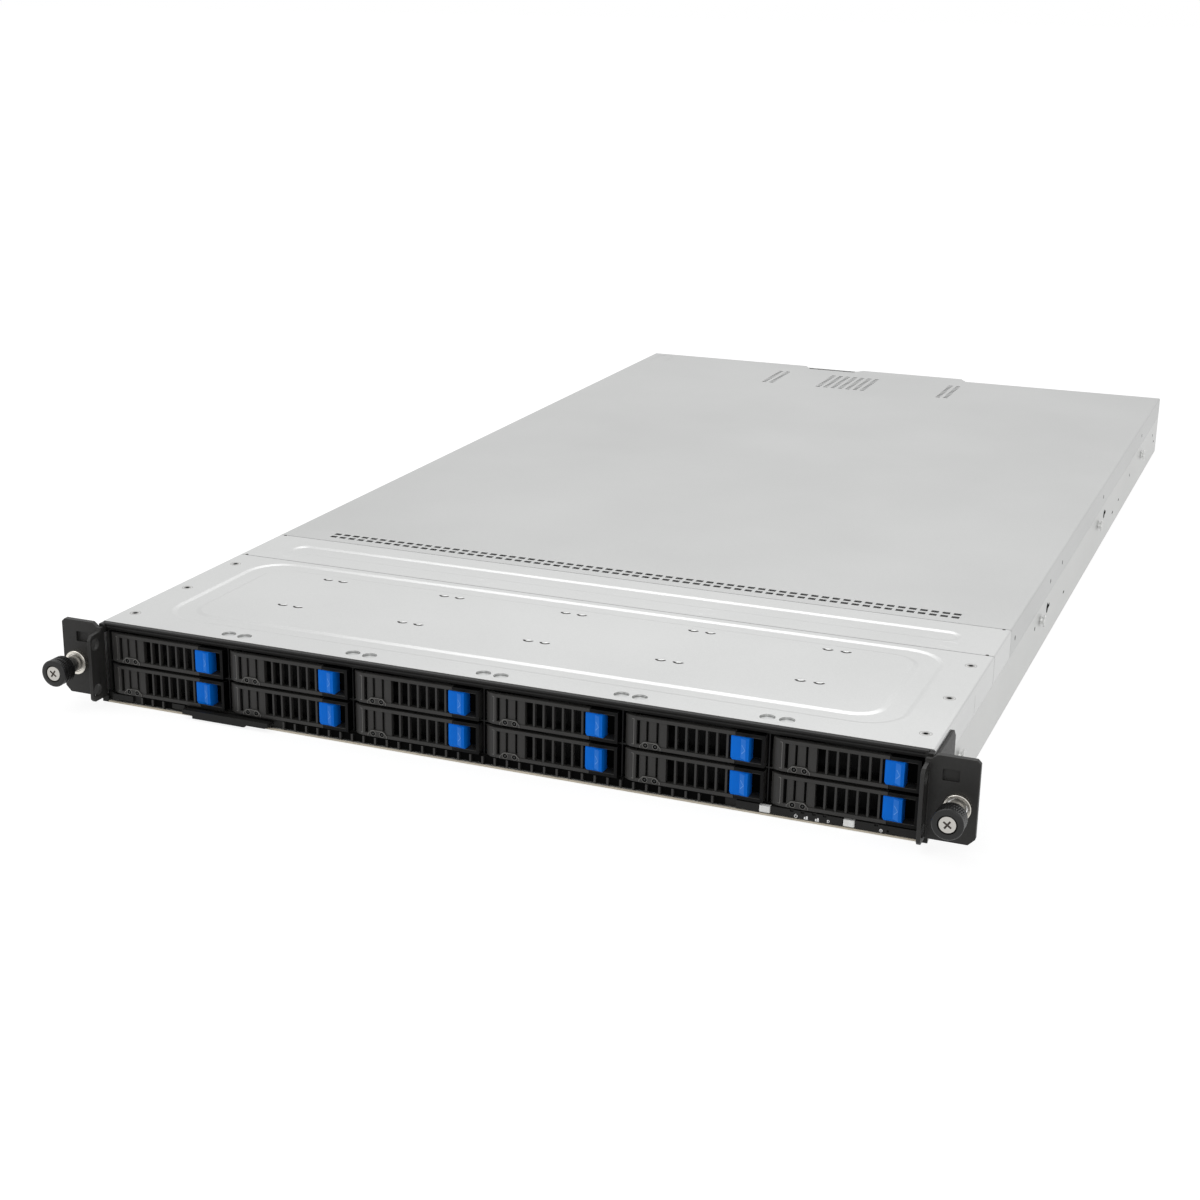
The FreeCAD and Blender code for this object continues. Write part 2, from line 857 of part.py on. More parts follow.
def middle_top_cover():
    """The narrow strip behind the drive cage, with one long pressed groove."""
    body = new_body("middle_cover_body")
    u_profile(body, "middle_cover", seam_one, middle_end)
    x = (-half + d.strip_groove_side, half - d.strip_groove_side)
    y = span(seam_one + d.strip_groove_front, d.strip_groove_width)
    bulge = sketch_on(body, "XY", "strip_groove_bulge", cover_low - d.groove_depth)
    cut_corner_rectangle(bulge, x, y, d.strip_groove_corner * CUT_OUTSIDE_ARC)
    pad(body, bulge, d.groove_depth, "strip_groove_bulge_pad")
    sink = sketch_on(body, "XY", "strip_groove_sink", d.body_height)
    rounded_rectangle(sink, x, y, d.strip_groove_corner)
    pocket(body, sink, d.groove_depth, "strip_groove_sink_pocket")
    return node("middle_top_cover", body)


def vent_columns(body, name, x, columns):
    """A field of long slots near the rear edge of the cover."""
    sketch = sketch_on(body, "XY", name, d.body_height)
    end = d.chassis_depth - d.rear_vent_reach
    rectangle(sketch, span(x, d.rear_vent_wide), (end - d.rear_vent_long, end))
    slots = pocket(body, sketch, d.cover_sheet, name + "_pocket")
    repeat(body, slots, sketch, d.rear_vent_column_pitch, columns, name + "_pattern")


def rear_top_cover():
    """The removable cover, with its vent slots and stepped rear edge."""
    body = new_body("rear_cover_body")
    u_profile(body, "rear_cover", rear_cover_start, rear_cover_end)
    corner = sketch_on(body, "XY", "rear_cover_corner", d.body_height)
    rectangle(corner, (d.rear_split + d.cover_corner_gap, half), (d.chassis_depth, rear_cover_end))
    notch_low = rear_cover_end - d.cover_notch_depth
    outline(corner, [
        (d.cover_notch_left, rear_cover_end), (d.cover_notch_left + d.cover_notch_slant, notch_low),
        (d.cover_notch_right - d.cover_notch_slant, notch_low), (d.cover_notch_right, rear_cover_end),
    ])
    pocket(body, corner, d.cover_flange, "rear_cover_corner_pocket")
    row = sketch_on(body, "XY", "front_vent_row", d.body_height)
    first = -d.vent_pitch * (VENT_SLOTS - 1) / 2 - d.vent_long / 2
    for i in (0, 1):
        y = span(rear_cover_start + d.vent_front + i * d.vent_row_pitch, d.vent_wide)
        rectangle(row, span(first, d.vent_long), y)
    slots = pocket(body, row, d.cover_sheet, "front_vent_pocket")
    repeat(body, slots, row, d.vent_pitch, VENT_SLOTS, "front_vent_pattern")
    vent_columns(body, "left_vents", d.left_vent_x, SIDE_VENT_COLUMNS)
    vent_columns(body, "middle_vents", d.middle_vent_x, MIDDLE_VENT_COLUMNS)
    vent_columns(body, "right_vents", d.right_vent_x, SIDE_VENT_COLUMNS)
    return node("rear_top_cover", body)


def bay_opening(column, row):
    """The clear opening of one bay, as planes across the front."""
    left = bays_left + column * d.bay_pitch
    low = d.bay_floor + row * d.row_pitch
    wall = d.cage_sheet / 2
    return (left + wall, left + d.bay_pitch - wall), (low, low + d.row_pitch - d.cage_sheet)


def drive_cage():
    """The drive cage: dividers and shelves in one frame that stands on the chassis floor."""
    body = new_body("drive_cage_body")
    side = half - d.wall_joggle - d.sheet - d.cage_clearance
    foot = side - d.cage_sheet
    low = d.bay_floor - d.cage_sheet
    sketch = sketch_on(body, "XZ", "cage_front_xz", 0)
    outline(sketch, [
        (-side, d.sheet), (-foot, d.sheet), (-foot, low), (foot, low), (foot, d.sheet), (side, d.sheet),
        (side, cage_top), (-side, cage_top),
    ])
    for column in range(BAY_COLUMNS):
        for row in range(BAY_ROWS):
            rectangle(sketch, *bay_opening(column, row))
    pad(body, sketch, d.cage_depth, "cage_pad")
    return node("drive_cage", body)


def carrier_tray():
    """The open tray of a carrier: floor, side rails and the posts that hold the lever pin."""
    left, right = d.carrier_gap, d.bay_pitch - d.carrier_gap
    floor_top = d.tray_floor + d.tray_sheet
    depth = (d.tray_lead, d.tray_length)
    rail = (d.tray_floor, d.rail_height)
    parts = [
        block("tray_floor_plate", (left, right), depth, (d.tray_floor, floor_top)),
        block("tray_rail_left", span(left, d.tray_sheet), depth, rail),
        block("tray_rail_right", (right - d.tray_sheet, right), depth, rail),
        block("tray_post", (left, d.pivot_x + d.lug_half), (d.post_front, d.post_back),
              (d.tray_floor, d.bezel_height)),
    ]
    for low, high, name in lever_lug_levels():
        parts.append(tray_lug(name, low, high))
    pin_low = lever_lug_levels()[0][1] - d.pin_seat
    pin_high = lever_lug_levels()[1][0] + d.pin_seat
    parts.append(rod("lever_pin", d.pivot_radius, pin_high - pin_low, (d.pivot_x, d.pivot_y, pin_low),
                     sides=PIN_SIDES))
    return fuse("tray_shell", *parts)


def lever_lug_levels():
    """Height ranges of the two tray lugs that stand above and below the lever's own lug."""
    low_top = d.lug_low - d.lug_gap
    high_low = d.lug_high + d.lug_gap
    return [
        (low_top - d.lug_thickness, low_top, "tray_lug_low"),
        (high_low, high_low + d.lug_thickness, "tray_lug_high"),
    ]


def tray_lug(name, low, high):
    """A lug with a bevelled nose that reaches forward from the post to the lever pin."""
    body = new_body(name)
    sketch = sketch_on(body, "XY", name + "_plan", low)
    reach, nose = d.lug_half, d.lug_half / 2
    x, y = d.pivot_x, d.pivot_y
    outline(sketch, [
        (x - reach, y - nose), (x - nose, y - reach), (x + nose, y - reach),
        (x + reach, y - nose), (x + reach, d.tray_lug_root), (x - reach, d.tray_lug_root),
    ])
    pad(body, sketch, high - low, name + "_pad")
    return body


def latch_housing():
    """The fixed right end of a carrier's front: a framed pocket that the button slides in."""
    body = new_body("latch_housing")
    plan = sketch_on(body, "XY", "latch_plan", d.bezel_low)
    front = -d.front_plane
    step = front + d.bezel_thickness + d.frame_return
    outline(plan, [
        (d.latch_split, front), (d.latch_right, front), (d.latch_right, d.latch_back),
        (d.latch_left, d.latch_back), (d.latch_left, step), (d.latch_split, step),
    ])
    pad(body, plan, d.bezel_height, "latch_pad")
    opening = sketch_on(body, "XZ", "latch_opening_xz", front)
    rectangle(opening, (d.latch_left + d.pocket_wall, d.latch_right - d.frame_bar),
              (d.bezel_low + d.frame_bar, d.bezel_low + d.bezel_height - d.frame_bar))
    pocket(body, opening, d.pocket_depth, "latch_pocket")
    return body


def drive_block():
    """A drive: a plain sealed case with bevelled long edges."""
    body = new_body("drive_body")
    left = (d.bay_pitch - d.drive_width) / 2
    right = left + d.drive_width
    low = d.tray_floor + d.tray_sheet
    high = low + d.drive_height
    bevel = d.drive_bevel
    sketch = sketch_on(body, "XZ", "drive_section_xz", d.drive_front)
    outline(sketch, [
        (left, low), (right, low), (right, high - bevel),
        (right - bevel, high), (left + bevel, high), (left, high - bevel),
    ])
    pad(body, sketch, d.drive_length, "drive_pad")
    return body


def lever_plate():
    """The hinged front of a carrier, swept back at its left end, with open slots."""
    body = new_body("lever_body")
    front = -d.front_plane
    back = front + d.bezel_thickness
    low = d.bezel_low
    high = d.bezel_low + d.bezel_height
    right = d.latch_split - d.lever_end_gap
    tip, flat = d.lever_left, d.lever_flat_left
    plan = sketch_on(body, "XY", "lever_plan", low)
    outline(plan, [
        (tip, -d.lever_tip_front), (tip + d.lever_curve_x, -d.lever_curve_front),
        (flat - d.lever_shoulder, front + d.lever_shoulder_drop),
        (flat, front), (right, front), (right, back), (flat, back), (tip, -d.lever_tip_back),
    ])
    pad(body, plan, d.bezel_height, "lever_pad")
    notch = sketch_on(body, "XZ", "lever_notch_xz", front)
    rectangle(notch, (d.lever_notch_left, right), (low + d.frame_bar, high - d.frame_bar))
    pocket(body, notch, d.bezel_thickness, "lever_notch_pocket")
    slot = sketch_on(body, "XZ", "lever_slot_xz", front)
    rectangle(slot, span(d.lever_slot_first, d.lever_slot_width),
              span(low + d.lever_slot_low, d.lever_slot_height))
    slots = pocket(body, slot, d.bezel_thickness, "lever_slot_pocket")
    repeat(body, slots, slot, d.lever_slot_pitch, LEVER_SLOTS, "lever_slots")
    return body


def lamp_boss():
    """The low raised boss at the bottom of a lever, round the two lamp holes."""
    body = new_body("lamp_boss")
    sketch = sketch_on(body, "XZ", "lamp_boss_xz", -d.front_plane)
    low = d.bezel_low
    side, top = low + d.lamp_boss_side, low + d.lamp_boss_height
    left, right, slope = d.lamp_boss_left, d.lamp_boss_right, d.lamp_boss_slope
    outline(sketch, [
        (left, low), (right, low), (right, side), (right - slope, top), (left + slope, top), (left, side),
    ])
    pad(body, sketch, d.bezel_thickness, "lamp_boss_pad")
    return body


def lever_lug():
    """The lever's own lug: a hook, open to the left, that clips round the pin."""
    body = new_body("lever_lug")
    plan = sketch_on(body, "XY", "lever_lug_plan", d.lug_low)
    x, y = d.pivot_x, d.pivot_y
    reach, nose = d.lug_half, d.lug_half / 2
    root = -d.lug_root
    outline(plan, [
        (x - reach, root), (x + reach + d.lug_root_reach, root), (x + reach, y + nose),
        (x + nose, y + reach), (x - reach, y + reach),
    ])
    height = d.lug_high - d.lug_low
    pad(body, plan, height, "lever_lug_pad")
    bore = d.pivot_radius + d.pivot_clearance
    levels = (d.lug_low - PAST, d.lug_high + PAST)
    reach_of_corners = bore / math.cos(math.pi / PIN_SIDES)
    round_end = rod("lever_lug_bore", reach_of_corners, height + 2 * PAST, (x, y, levels[0]),
                    sides=PIN_SIDES)
    mouth = block("lever_lug_mouth", (x - reach - PAST, x), (y - bore, y + bore), levels)
    return cut("lever_hook", body, fuse("lever_hook_opening", round_end, mouth))


def release_button():
    """The sliding release button: a thumb ridge on its right and bevels above and below."""
    body = new_body("button_body")
    front = -d.front_plane
    left = d.button_left
    right = left + d.button_width
    back = front + d.button_depth
    reach = front - d.button_proud
    plan = sketch_on(body, "XY", "button_plan", d.button_low)
    outline(plan, [
        (left, front - d.button_face_drop), (left + d.button_ridge, front - d.button_ridge_drop),
        (right - d.button_band, reach), (right, reach), (right, back), (left, back),
    ])
    pad(body, plan, d.button_height, "button_pad")
    side = sketch_on(body, "YZ", "button_side_yz", left)
    low, high = d.button_low, d.button_low + d.button_height
    outline(side, [(reach, low), (front + d.button_foot_rise, low), (reach, low + d.button_foot)])
    outline(side, [(reach, high), (front + d.button_brow_fall, high), (reach, high - d.button_brow)])
    pocket(body, side, d.button_width, "button_bevels")
    return body


def place_in_bay(name, column, row, *pieces):
    """A copy of a piece in one bay."""
    placed = doc.addObject("Part::Compound", name + "_placed")
    placed.Links = list(pieces)
    place(placed, bays_left + column * d.bay_pitch, as_size(0), d.bay_floor + row * d.row_pitch)
    return node(name, placed)


def bays():
    """Twelve carriers, each with its lever and release button."""
    carrier = fuse("carrier_shell", carrier_tray(), latch_housing())
    drive = drive_block()
    lever = fuse("lever_whole", lever_plate(), lamp_boss(), lever_lug())
    button = release_button()
    nodes = []
    for column in range(BAY_COLUMNS):
        for row in range(BAY_ROWS):
            number = f"{column * BAY_ROWS + row + 1:02d}"
            nodes.append(place_in_bay("drive_carrier_" + number, column, row, carrier, drive))
            nodes.append(place_in_bay("carrier_lever_" + number, column, row, lever))
            nodes.append(place_in_bay("release_button_" + number, column, row, button))
    return nodes


def bezel_lip():
    """The lip above the bays, with a fine channel along its front."""
    lip = new_body("lip_body")
    section = sketch_on(lip, "YZ", "lip_section", -d.bezel_side)
    lead, low = -d.lip_lead, d.lip_low
    inset = lead + d.lip_step
    under, top = cover_low - d.lip_gap, d.body_height - d.lip_gap
    channel_low, channel_high = low + d.lip_channel_low, low + d.lip_channel_high
    outline(section, [
        (lead, low), (d.lip_tail, low), (d.lip_tail, under), (-d.lip_tongue, under),
        (-d.lip_tongue, top), (inset, top), (lead, top - d.lip_bevel), (lead, channel_high),
        (inset, channel_high - d.lip_channel_slope), (inset, channel_low + d.lip_channel_slope),
        (lead, channel_low),
    ])
    pad(lip, section, 2 * d.bezel_side, "lip_pad")
    return lip


def strip_ribs(top):
    """Short ribs and two broader tabs on the strip below the bays."""
    proud = (-d.strip_face - d.rib_proud, -d.rib_root)
    tag_left = d.tag_left.value - d.rib_tag_room.value
    tag_right = d.tag_left.value + d.tag_width.value + d.rib_tag_end.value
    count = int((d.panel_left.value - d.rib_first.value) / d.rib_pitch.value)
    ribs = [
        block("strip_tab_left", span(d.side_tab_left, d.side_tab_width), proud, (d.side_tab_low, top)),
        block("strip_tab_tag", span(d.tag_left - d.tag_tab_offset, d.tag_tab_width), proud,
              (d.tag_tab_low, top)),
    ]
    for i in range(count):
        x = d.rib_first + i * d.rib_pitch
        if not tag_left < x.value < tag_right:
            ribs.append(block(f"strip_rib_{i:02d}", around(x, d.rib_width), proud,
                              (d.sheet + d.rib_low, top)))
    return ribs


def front_bezel():
    """The black front moulding: a grooved lip above the bays and a ribbed strip below."""
    side = d.bezel_side
    plate = (-d.bezel_bar, as_size(0))
    strip_top = d.bay_floor - d.strip_gap
    parts = [
        bezel_lip(),
        block("bezel_top_bar", (-side, side), plate, (cage_top - d.cage_sheet, d.lip_low)),
        block("ribbed_strip", (-side, side), (-d.strip_face, as_size(0)), (d.sheet, strip_top)),
    ]
    inner = -bays_left - d.post_overlap
    for word, x in (("left", (-side, -inner)), ("right", (inner, side))):
        parts.append(block(f"bezel_post_{word}", x, plate, (d.sheet, d.lip_low)))
    whole = fuse("bezel_moulding", *parts, *strip_ribs(strip_top))
    through = (-d.strip_face - PAST, as_size(PAST))
    tools = [block("tag_slot", (d.tag_left - d.tag_gap, d.tag_left + d.tag_width + d.tag_gap), through,
                   (d.tag_height - d.tag_gap, d.tag_height + d.tag_sheet + d.tag_gap))]
    for name, x in (("power", d.power_key_x), ("id", d.id_key_x)):
        z = span(d.key_low - d.key_hole_rise, d.key_height + 2 * d.key_hole_rise)
        tools.append(block(name + "_key_hole", around(x, d.key_width + 2 * d.key_hole_gap), through, z))
    return node("front_bezel", cut("bezel_cut", whole, *tools))


def control_panel():
    """Three face blocks beside the two keys, notched above the lamps, and their circuit board."""
    face = -d.panel_face
    low, high = d.sheet + d.rib_low, d.bay_floor - d.panel_top_gap
    clear = d.key_width / 2 + d.panel_key_room
    limits = [
        (d.panel_left, d.power_key_x - clear), (d.power_key_x + clear, d.id_key_x - clear),
        (d.id_key_x + clear, d.panel_right),
    ]
    blocks = [block(f"panel_block_{i}", x, (face, -d.strip_face), (low, high)) for i, x in enumerate(limits)]
    notches = []
    for i, offset in enumerate(LAMP_NOTCHES + (RESET_NOTCH,)):
        notches.append(block(f"lamp_notch_{i}", around(d.power_key_x + offset, d.notch_width),
                             (face - PAST, face + d.notch_depth), (high - d.notch_height, high + PAST)))
    blocks[1] = cut("panel_block_lamps", blocks[1], *notches[:-1])
    blocks[2] = cut("panel_block_reset", blocks[2], notches[-1])
    board = block("panel_board", (d.panel_left + d.panel_board_inset, d.panel_board_right),
                  span(d.panel_board_front, d.panel_board_sheet), (d.sheet, d.bay_floor - d.cage_sheet))
    return node("control_panel", *blocks, board)


def key(name, x):
    """A push key on a stem that reaches back to its switch."""
    face = -d.panel_face - d.key_proud
    room = d.key_travel + d.key_stop
    back = -room
    cap = new_body(name + "_cap")
    plan = sketch_on(cap, "XY", name + "_plan", d.key_low)
    left, right = around(x, d.key_width)
    bevel = d.key_bevel
    outline(plan, [
        (left + bevel, face), (right - bevel, face), (right, face + bevel), (right, back), (left, back),
        (left, face + bevel),
    ])
    pad(cap, plan, d.key_height, name + "_pad")
    stem = block(name + "_stem", around(x, d.key_stem), (back - d.key_stem_root, d.panel_board_front - room),
                 around(d.key_low + d.key_height / 2, d.key_stem))
    return node(name, fuse(name + "_whole", cap, stem))


def pull_tag():
    """The blank pull-out tag: a thin tongue with a thicker grip in front."""
    left, right = span(d.tag_left, d.tag_width)
    front = -d.tag_lead
    top = d.tag_height + d.tag_sheet
    tongue = block("tag_tongue", (left, right), (front + PAST, front + d.tag_length), (d.tag_height, top))
    grip = block("tag_grip", (left, right), span(front, d.tag_grip_length),
                 (d.tag_height - d.tag_grip_low, top + d.tag_grip_high))
    body = new_body("tag_lip")
    sketch = sketch_on(body, "XZ", "tag_lip_xz", front)
    low = d.tag_lip_low
    lip_left = left + d.tag_lip_left
    lip_right = lip_left + d.tag_lip_width
    step = low + d.tag_lip_step
    outline(sketch, [
        (lip_left, d.tag_height), (lip_left, low), (lip_right, low), (lip_right + d.tag_lip_step, step),
        (right - d.tag_lip_right, step), (right - d.tag_lip_right, d.tag_height),
    ])
    pad(body, sketch, d.tag_lip_length, "tag_lip_pad")
    return node("pull_tag", fuse("tag_whole", tongue, grip, body))


def ear_plate(face):
    """The face plate of an ear, with the screw's hole and a square recess above it."""
    plate = new_body("ear_plate")
    sketch = sketch_on(plate, "XZ", "ear_plate_xz", face)
    outer, corner = d.ear_span / 2, d.ear_corner
    inner = half - d.ear_wall_gap
    shoulder = d.ear_high - d.ear_neck_drop
    outline(sketch, [
        (d.tab_inner, d.ear_low), (outer - corner, d.ear_low), (outer, d.ear_low + corner),
        (outer, d.ear_high - corner / 2), (outer - corner / 2, d.ear_high),
        (inner + d.ear_neck, d.ear_high), (inner, shoulder), (d.tab_inner, shoulder),
    ])
    regular_outline(sketch, d.screw_x, d.screw_z, d.ferrule_neck + d.lid_gap, SHAFT_SIDES)
    pad(plate, sketch, d.ear_thickness, "ear_plate_pad")
    window = sketch_on(plate, "XZ", "ear_window_xz", face)
    rectangle(window, around(d.window_x, d.window_width), span(d.window_low, d.window_height))
    pocket(plate, window, d.window_depth, "ear_window")
    return plate


def ear_tab(face, back):
    """The tab beside the bays, with two holes for the hooks of a front cover."""
    tab = new_body("ear_tab")
    sketch = sketch_on(tab, "YZ", "ear_tab_outline", d.tab_inner)
    front = face - d.tab_reach
    shoulder = d.ear_high - d.ear_neck_drop
    outline(sketch, [
        (front + d.tab_bevel, d.ear_low), (back, d.ear_low), (back, shoulder), (face, shoulder - d.tab_bevel),
        (front + d.tab_slope, d.tab_top), (front, d.tab_top - d.tab_slope), (front, d.ear_low + d.tab_bevel),
    ])
    for i in (0, 1):
        hole_circle(sketch, face - d.tab_hole_reach, d.tab_hole_low + i * d.tab_hole_pitch, d.tab_hole_radius)
    pad(tab, sketch, d.tab_thickness, "ear_tab_pad")
    return tab


def rack_ear():
    """The right rack ear: a face plate, a side plate along the wall and a tab beside the bays."""
    face = -d.ear_face
    side = new_body("ear_side")
    sketch = sketch_on(side, "YZ", "ear_side_outline", half)
    length, bevel = d.ear_side_length, d.ear_side_bevel
    low, high = d.ear_side_low, d.ear_side_high
    outline(sketch, [
        (face, low), (length - bevel, low), (length, low + bevel),
        (length, high - bevel), (length - bevel, high), (face, high),
    ])
    pad(side, sketch, d.ear_side_sheet, "ear_side_pad")
    return fuse("ear_whole", ear_plate(face), ear_tab(face, face + d.ear_thickness), side)


def thumbscrew():
    """A captive thumbscrew: a knurled knob, its shaft, a thin neck and the threaded end."""
    face = -d.knob_face
    knob_back = face + d.knob_length
    shaft_end = -d.ear_face - d.shaft_stop
    ear_back = -d.ear_face + d.ear_thickness
    thread_start = ear_back + d.neck_reach
    thread_length = d.stud_reach - d.neck_reach
    parts = []
    for name, radius, start, length, sides in (
        ("knob", d.knob_radius, face, d.knob_length, KNOB_SIDES),
        ("shaft", d.shaft_radius, knob_back, shaft_end - knob_back, SHAFT_SIDES),
        ("neck", d.neck_radius, shaft_end, thread_start - shaft_end, NECK_SIDES),
        ("thread", d.stud_radius, thread_start, thread_length, 0),
    ):
        parts.append(rod("thumbscrew_" + name, radius, length, (d.screw_x, start, d.screw_z), "Y", sides))
    return fuse("thumbscrew_whole", *parts)


def ferrule():
    """The collar that guides a thumbscrew: a flange in front and a neck pressed in the ear."""
    face = -d.ear_face
    front = face - d.ferrule_flange
    length = d.ferrule_flange + d.ear_thickness
    flange = rod("ferrule_flange", d.ferrule_radius, d.ferrule_flange, (d.screw_x, front, d.screw_z), "Y",
                 COLLAR_SIDES)
    neck = rod("ferrule_neck", d.ferrule_neck, d.ear_thickness, (d.screw_x, face, d.screw_z), "Y",
               SHAFT_SIDES)
    bore = rod("ferrule_bore", d.ferrule_bore, length + 2 * PAST, (d.screw_x, front - PAST, d.screw_z), "Y",
               SHAFT_SIDES)
    return cut("ferrule_open", fuse("ferrule_whole", flange, neck), bore)


def ears():
    right = rack_ear()
    screw = thumbscrew()
    collar = ferrule()
    node("rack_ear_right", right)
    node("rack_ear_left", mirrored("ear_mirror", right))
    node("thumbscrew_right", screw)
    node("thumbscrew_left", mirrored("screw_mirror", screw))
    node("thumbscrew_ferrules", collar, mirrored("ferrule_mirror", collar))


def drive_backplane():
    """The circuit board behind the cage, with one socket for each drive and air slots."""
    front = d.cage_depth
    side = half - d.backplane_side
    board = block("backplane_board", (-side, side), span(front, d.backplane_sheet),
                  (d.sheet + d.backplane_foot, cage_top))
    air = []
    sockets = []
    socket_low = d.bay_floor + d.connector_rise
    for column in range(BAY_COLUMNS):
        centre = bays_left + (column + 0.5) * d.bay_pitch
        for row in range(BAY_ROWS):
            sockets.append(block(f"drive_socket_{column}_{row}", around(centre, d.connector_width),
                                 (front - d.connector_reach, front),
                                 span(socket_low + row * d.row_pitch, d.connector_height)))
        air_low = socket_low + d.connector_height + d.connector_rise
        air.append(block(f"air_slot_{column}", around(centre, d.air_slot_width),
                         (front - PAST, front + d.backplane_sheet + PAST), span(air_low, d.air_slot_height)))
    pierced = cut("backplane_pierced", board, *air)
    return node("drive_backplane", fuse("backplane_whole", pierced, *sockets))


def fan_frame(name, centre):
    """A square fan housing with a round duct and the bar that carries its motor."""
    mid = d.sheet + d.fan_side / 2
    depth = span(d.fan_front, d.fan_depth)
    shell = block(name + "_shell", around(centre, d.fan_side), depth, span(d.sheet, d.fan_side))
    duct = rod(name + "_duct", d.fan_bore, d.fan_depth + 2 * PAST, (centre, d.fan_front - PAST, mid), "Y",
               FAN_DUCT_SIDES)
    bar = block(name + "_bar", around(centre, d.strut_width), (depth[1] - d.strut_length, depth[1]),
                around(mid, 2 * d.fan_bore + PAST))
    return fuse(name + "_frame", cut(name + "_open", shell, duct), bar)


def fan_rotor(name, centre):
    """A rotor: swept blades standing out from a hub."""
    body = new_body(name + "_rotor")
    sketch = sketch_on(body, "XZ", name + "_rotor_xz", d.fan_front + d.fan_gap)
    mid = d.sheet + d.fan_side / 2
    sweep, blade = d.fan_sweep.value, d.fan_blade_half.value
    count = int(d.blade_count.value)
    points = []
    for i in range(count):
        angle = 2 * math.pi * i / count
        for radius, turn in ((d.fan_hub, -sweep), (d.fan_tip, -blade), (d.fan_tip, blade)):
            points.append((centre + radius * math.cos(angle + turn), mid + radius * math.sin(angle + turn)))
    outline(sketch, points)
    pad(body, sketch, d.fan_depth - d.strut_length - 2 * d.fan_gap, name + "_rotor_pad")
    return body


def fan_modules():
    """A row of fans, each a housing with its rotor inside."""
    solids = []
    count = int(d.fan_count.value)
    for i in range(count):
        centre = (i - (count - 1) / 2) * d.fan_pitch
        solids.append(fan_frame(f"fan_{i + 1}", centre))
        solids.append(fan_rotor(f"fan_{i + 1}", centre))
    return node("fan_modules", *solids)


def motherboard():
    """The main board on standoffs, with processor sockets, a riser and the rear sockets."""
    low = d.board_height
    high = low + d.board_sheet
    body = new_body("board_body")
    plan = sketch_on(body, "XY", "board_plan", low)
    split = d.board_right - d.board_split_gap
    outline(plan, [
        (-d.board_side, d.board_front), (d.board_side, d.board_front), (d.board_side, d.board_step),
        (split, d.board_step), (split, d.board_back), (-d.board_side, d.board_back),
    ])
    pad(body, plan, d.board_sheet, "board_pad")
    parts = [body]
    for i, (x, y) in enumerate(STANDOFFS):
        parts.append(block(f"standoff_{i}", around(as_size(x), d.standoff_side),
                           around(as_size(y), d.standoff_side), (d.sheet, low)))
    for i, x in enumerate((-d.cpu_x, d.cpu_x)):
        parts.append(block(f"processor_socket_{i}", around(x, d.processor_width),
                           span(d.cpu_y + d.processor_inset, d.processor_length),
                           span(high, d.socket_height)))
    parts.append(block("riser_card", span(d.riser_x, d.board_sheet),
                       (d.board_back - d.riser_length, d.board_back - d.riser_back), (high, d.riser_top)))
    sockets = [rear_socket(*socket) for socket in SOCKETS]
    return node("motherboard", fuse("board_whole", *parts), *sockets)


def rear_socket(name, centre, width, low, height):
    """A metal socket shell on the board's rear edge, open to the back."""
    back = rear_cover_end + d.socket_proud
    wall = d.socket_wall
    shell = block(name + "_shell", around(as_size(centre), width), (back - d.socket_length, back),
                  span(low, height))
    mouth = block(name + "_mouth", around(as_size(centre), width - 2 * wall),
                  (back - d.socket_mouth, back + PAST), span(low + wall, height - 2 * wall))
    return cut(name + "_socket", shell, mouth)


def cpu_heatsinks():
    """Two comb-shaped coolers, one on each processor."""
    sinks = []
    low = d.board_height + d.board_sheet + d.socket_height
    high = low + d.sink_base
    count = int(d.fin_count.value)
    for i, centre in enumerate((-d.cpu_x, d.cpu_x)):
        body = new_body(f"sink_body_{i}")
        sketch = sketch_on(body, "XZ", f"sink_{i}_xz", d.cpu_y)
        left, right = around(centre, d.sink_width)
        comb = [(left, low), (right, low), (right, high)]
        start = centre + (count - 1) / 2 * d.fin_pitch
        for k in range(count):
            fin_left, fin_right = around(start - k * d.fin_pitch, d.fin_thickness)
            comb += [(fin_right, high), (fin_right, d.sink_top), (fin_left, d.sink_top), (fin_left, high)]
        comb.append((left, high))
        outline(sketch, comb)
        pad(body, sketch, d.sink_length, f"sink_pad_{i}")
        sinks.append(body)
    return node("cpu_heatsinks", *sinks)


def dimm_modules():
    """Memory modules in banks on both sides of each processor."""
    low = d.board_height + d.board_sheet
    count = int(d.dimm_count.value)
    modules = []
    for bank, (cpu, side) in enumerate(((-1, -1), (-1, 1), (1, -1), (1, 1))):
        edge = cpu * d.cpu_x + side * (d.sink_width / 2 + d.dimm_gap)
        for i in range(count):
            x = edge + side * i * d.dimm_pitch
            modules.append(block(f"dimm_{bank}_{i}", around(x, d.dimm_thickness),
                                 span(d.cpu_y - d.dimm_lead, d.dimm_length), (low, d.dimm_top)))
    return node("dimm_modules", *modules)


def supply_openings(name, left, low, back):
    """What is cut from a power supply's rear face: the inlet, the latch slot and the grille."""
    out = back + PAST
    tools = [block(name + "_inlet", around(left + d.inlet_x, d.inlet_width), (back - d.inlet_depth, out),
                   span(low + d.inlet_low, d.inlet_height))]
    latch_left, latch_right = around(left + d.latch_x, d.latch_width)
    tools.append(block(name + "_latch_slot",
                       (latch_left - d.latch_travel - d.latch_slot_gap, latch_right + d.latch_slot_gap),
                       (back - d.latch_slot_depth, out),
                       around(low + d.psu_height / 2, d.latch_height + 2 * d.latch_slot_gap)))
    for i in range(PSU_VENTS):
        tools.append(block(f"{name}_vent_{i}", span(left + d.psu_vent_left, d.psu_vent_width),
                           (back - d.psu_vent_depth, out),
                           span(low + d.psu_vent_low + i * d.psu_vent_pitch, d.psu_vent_height)))
    return tools


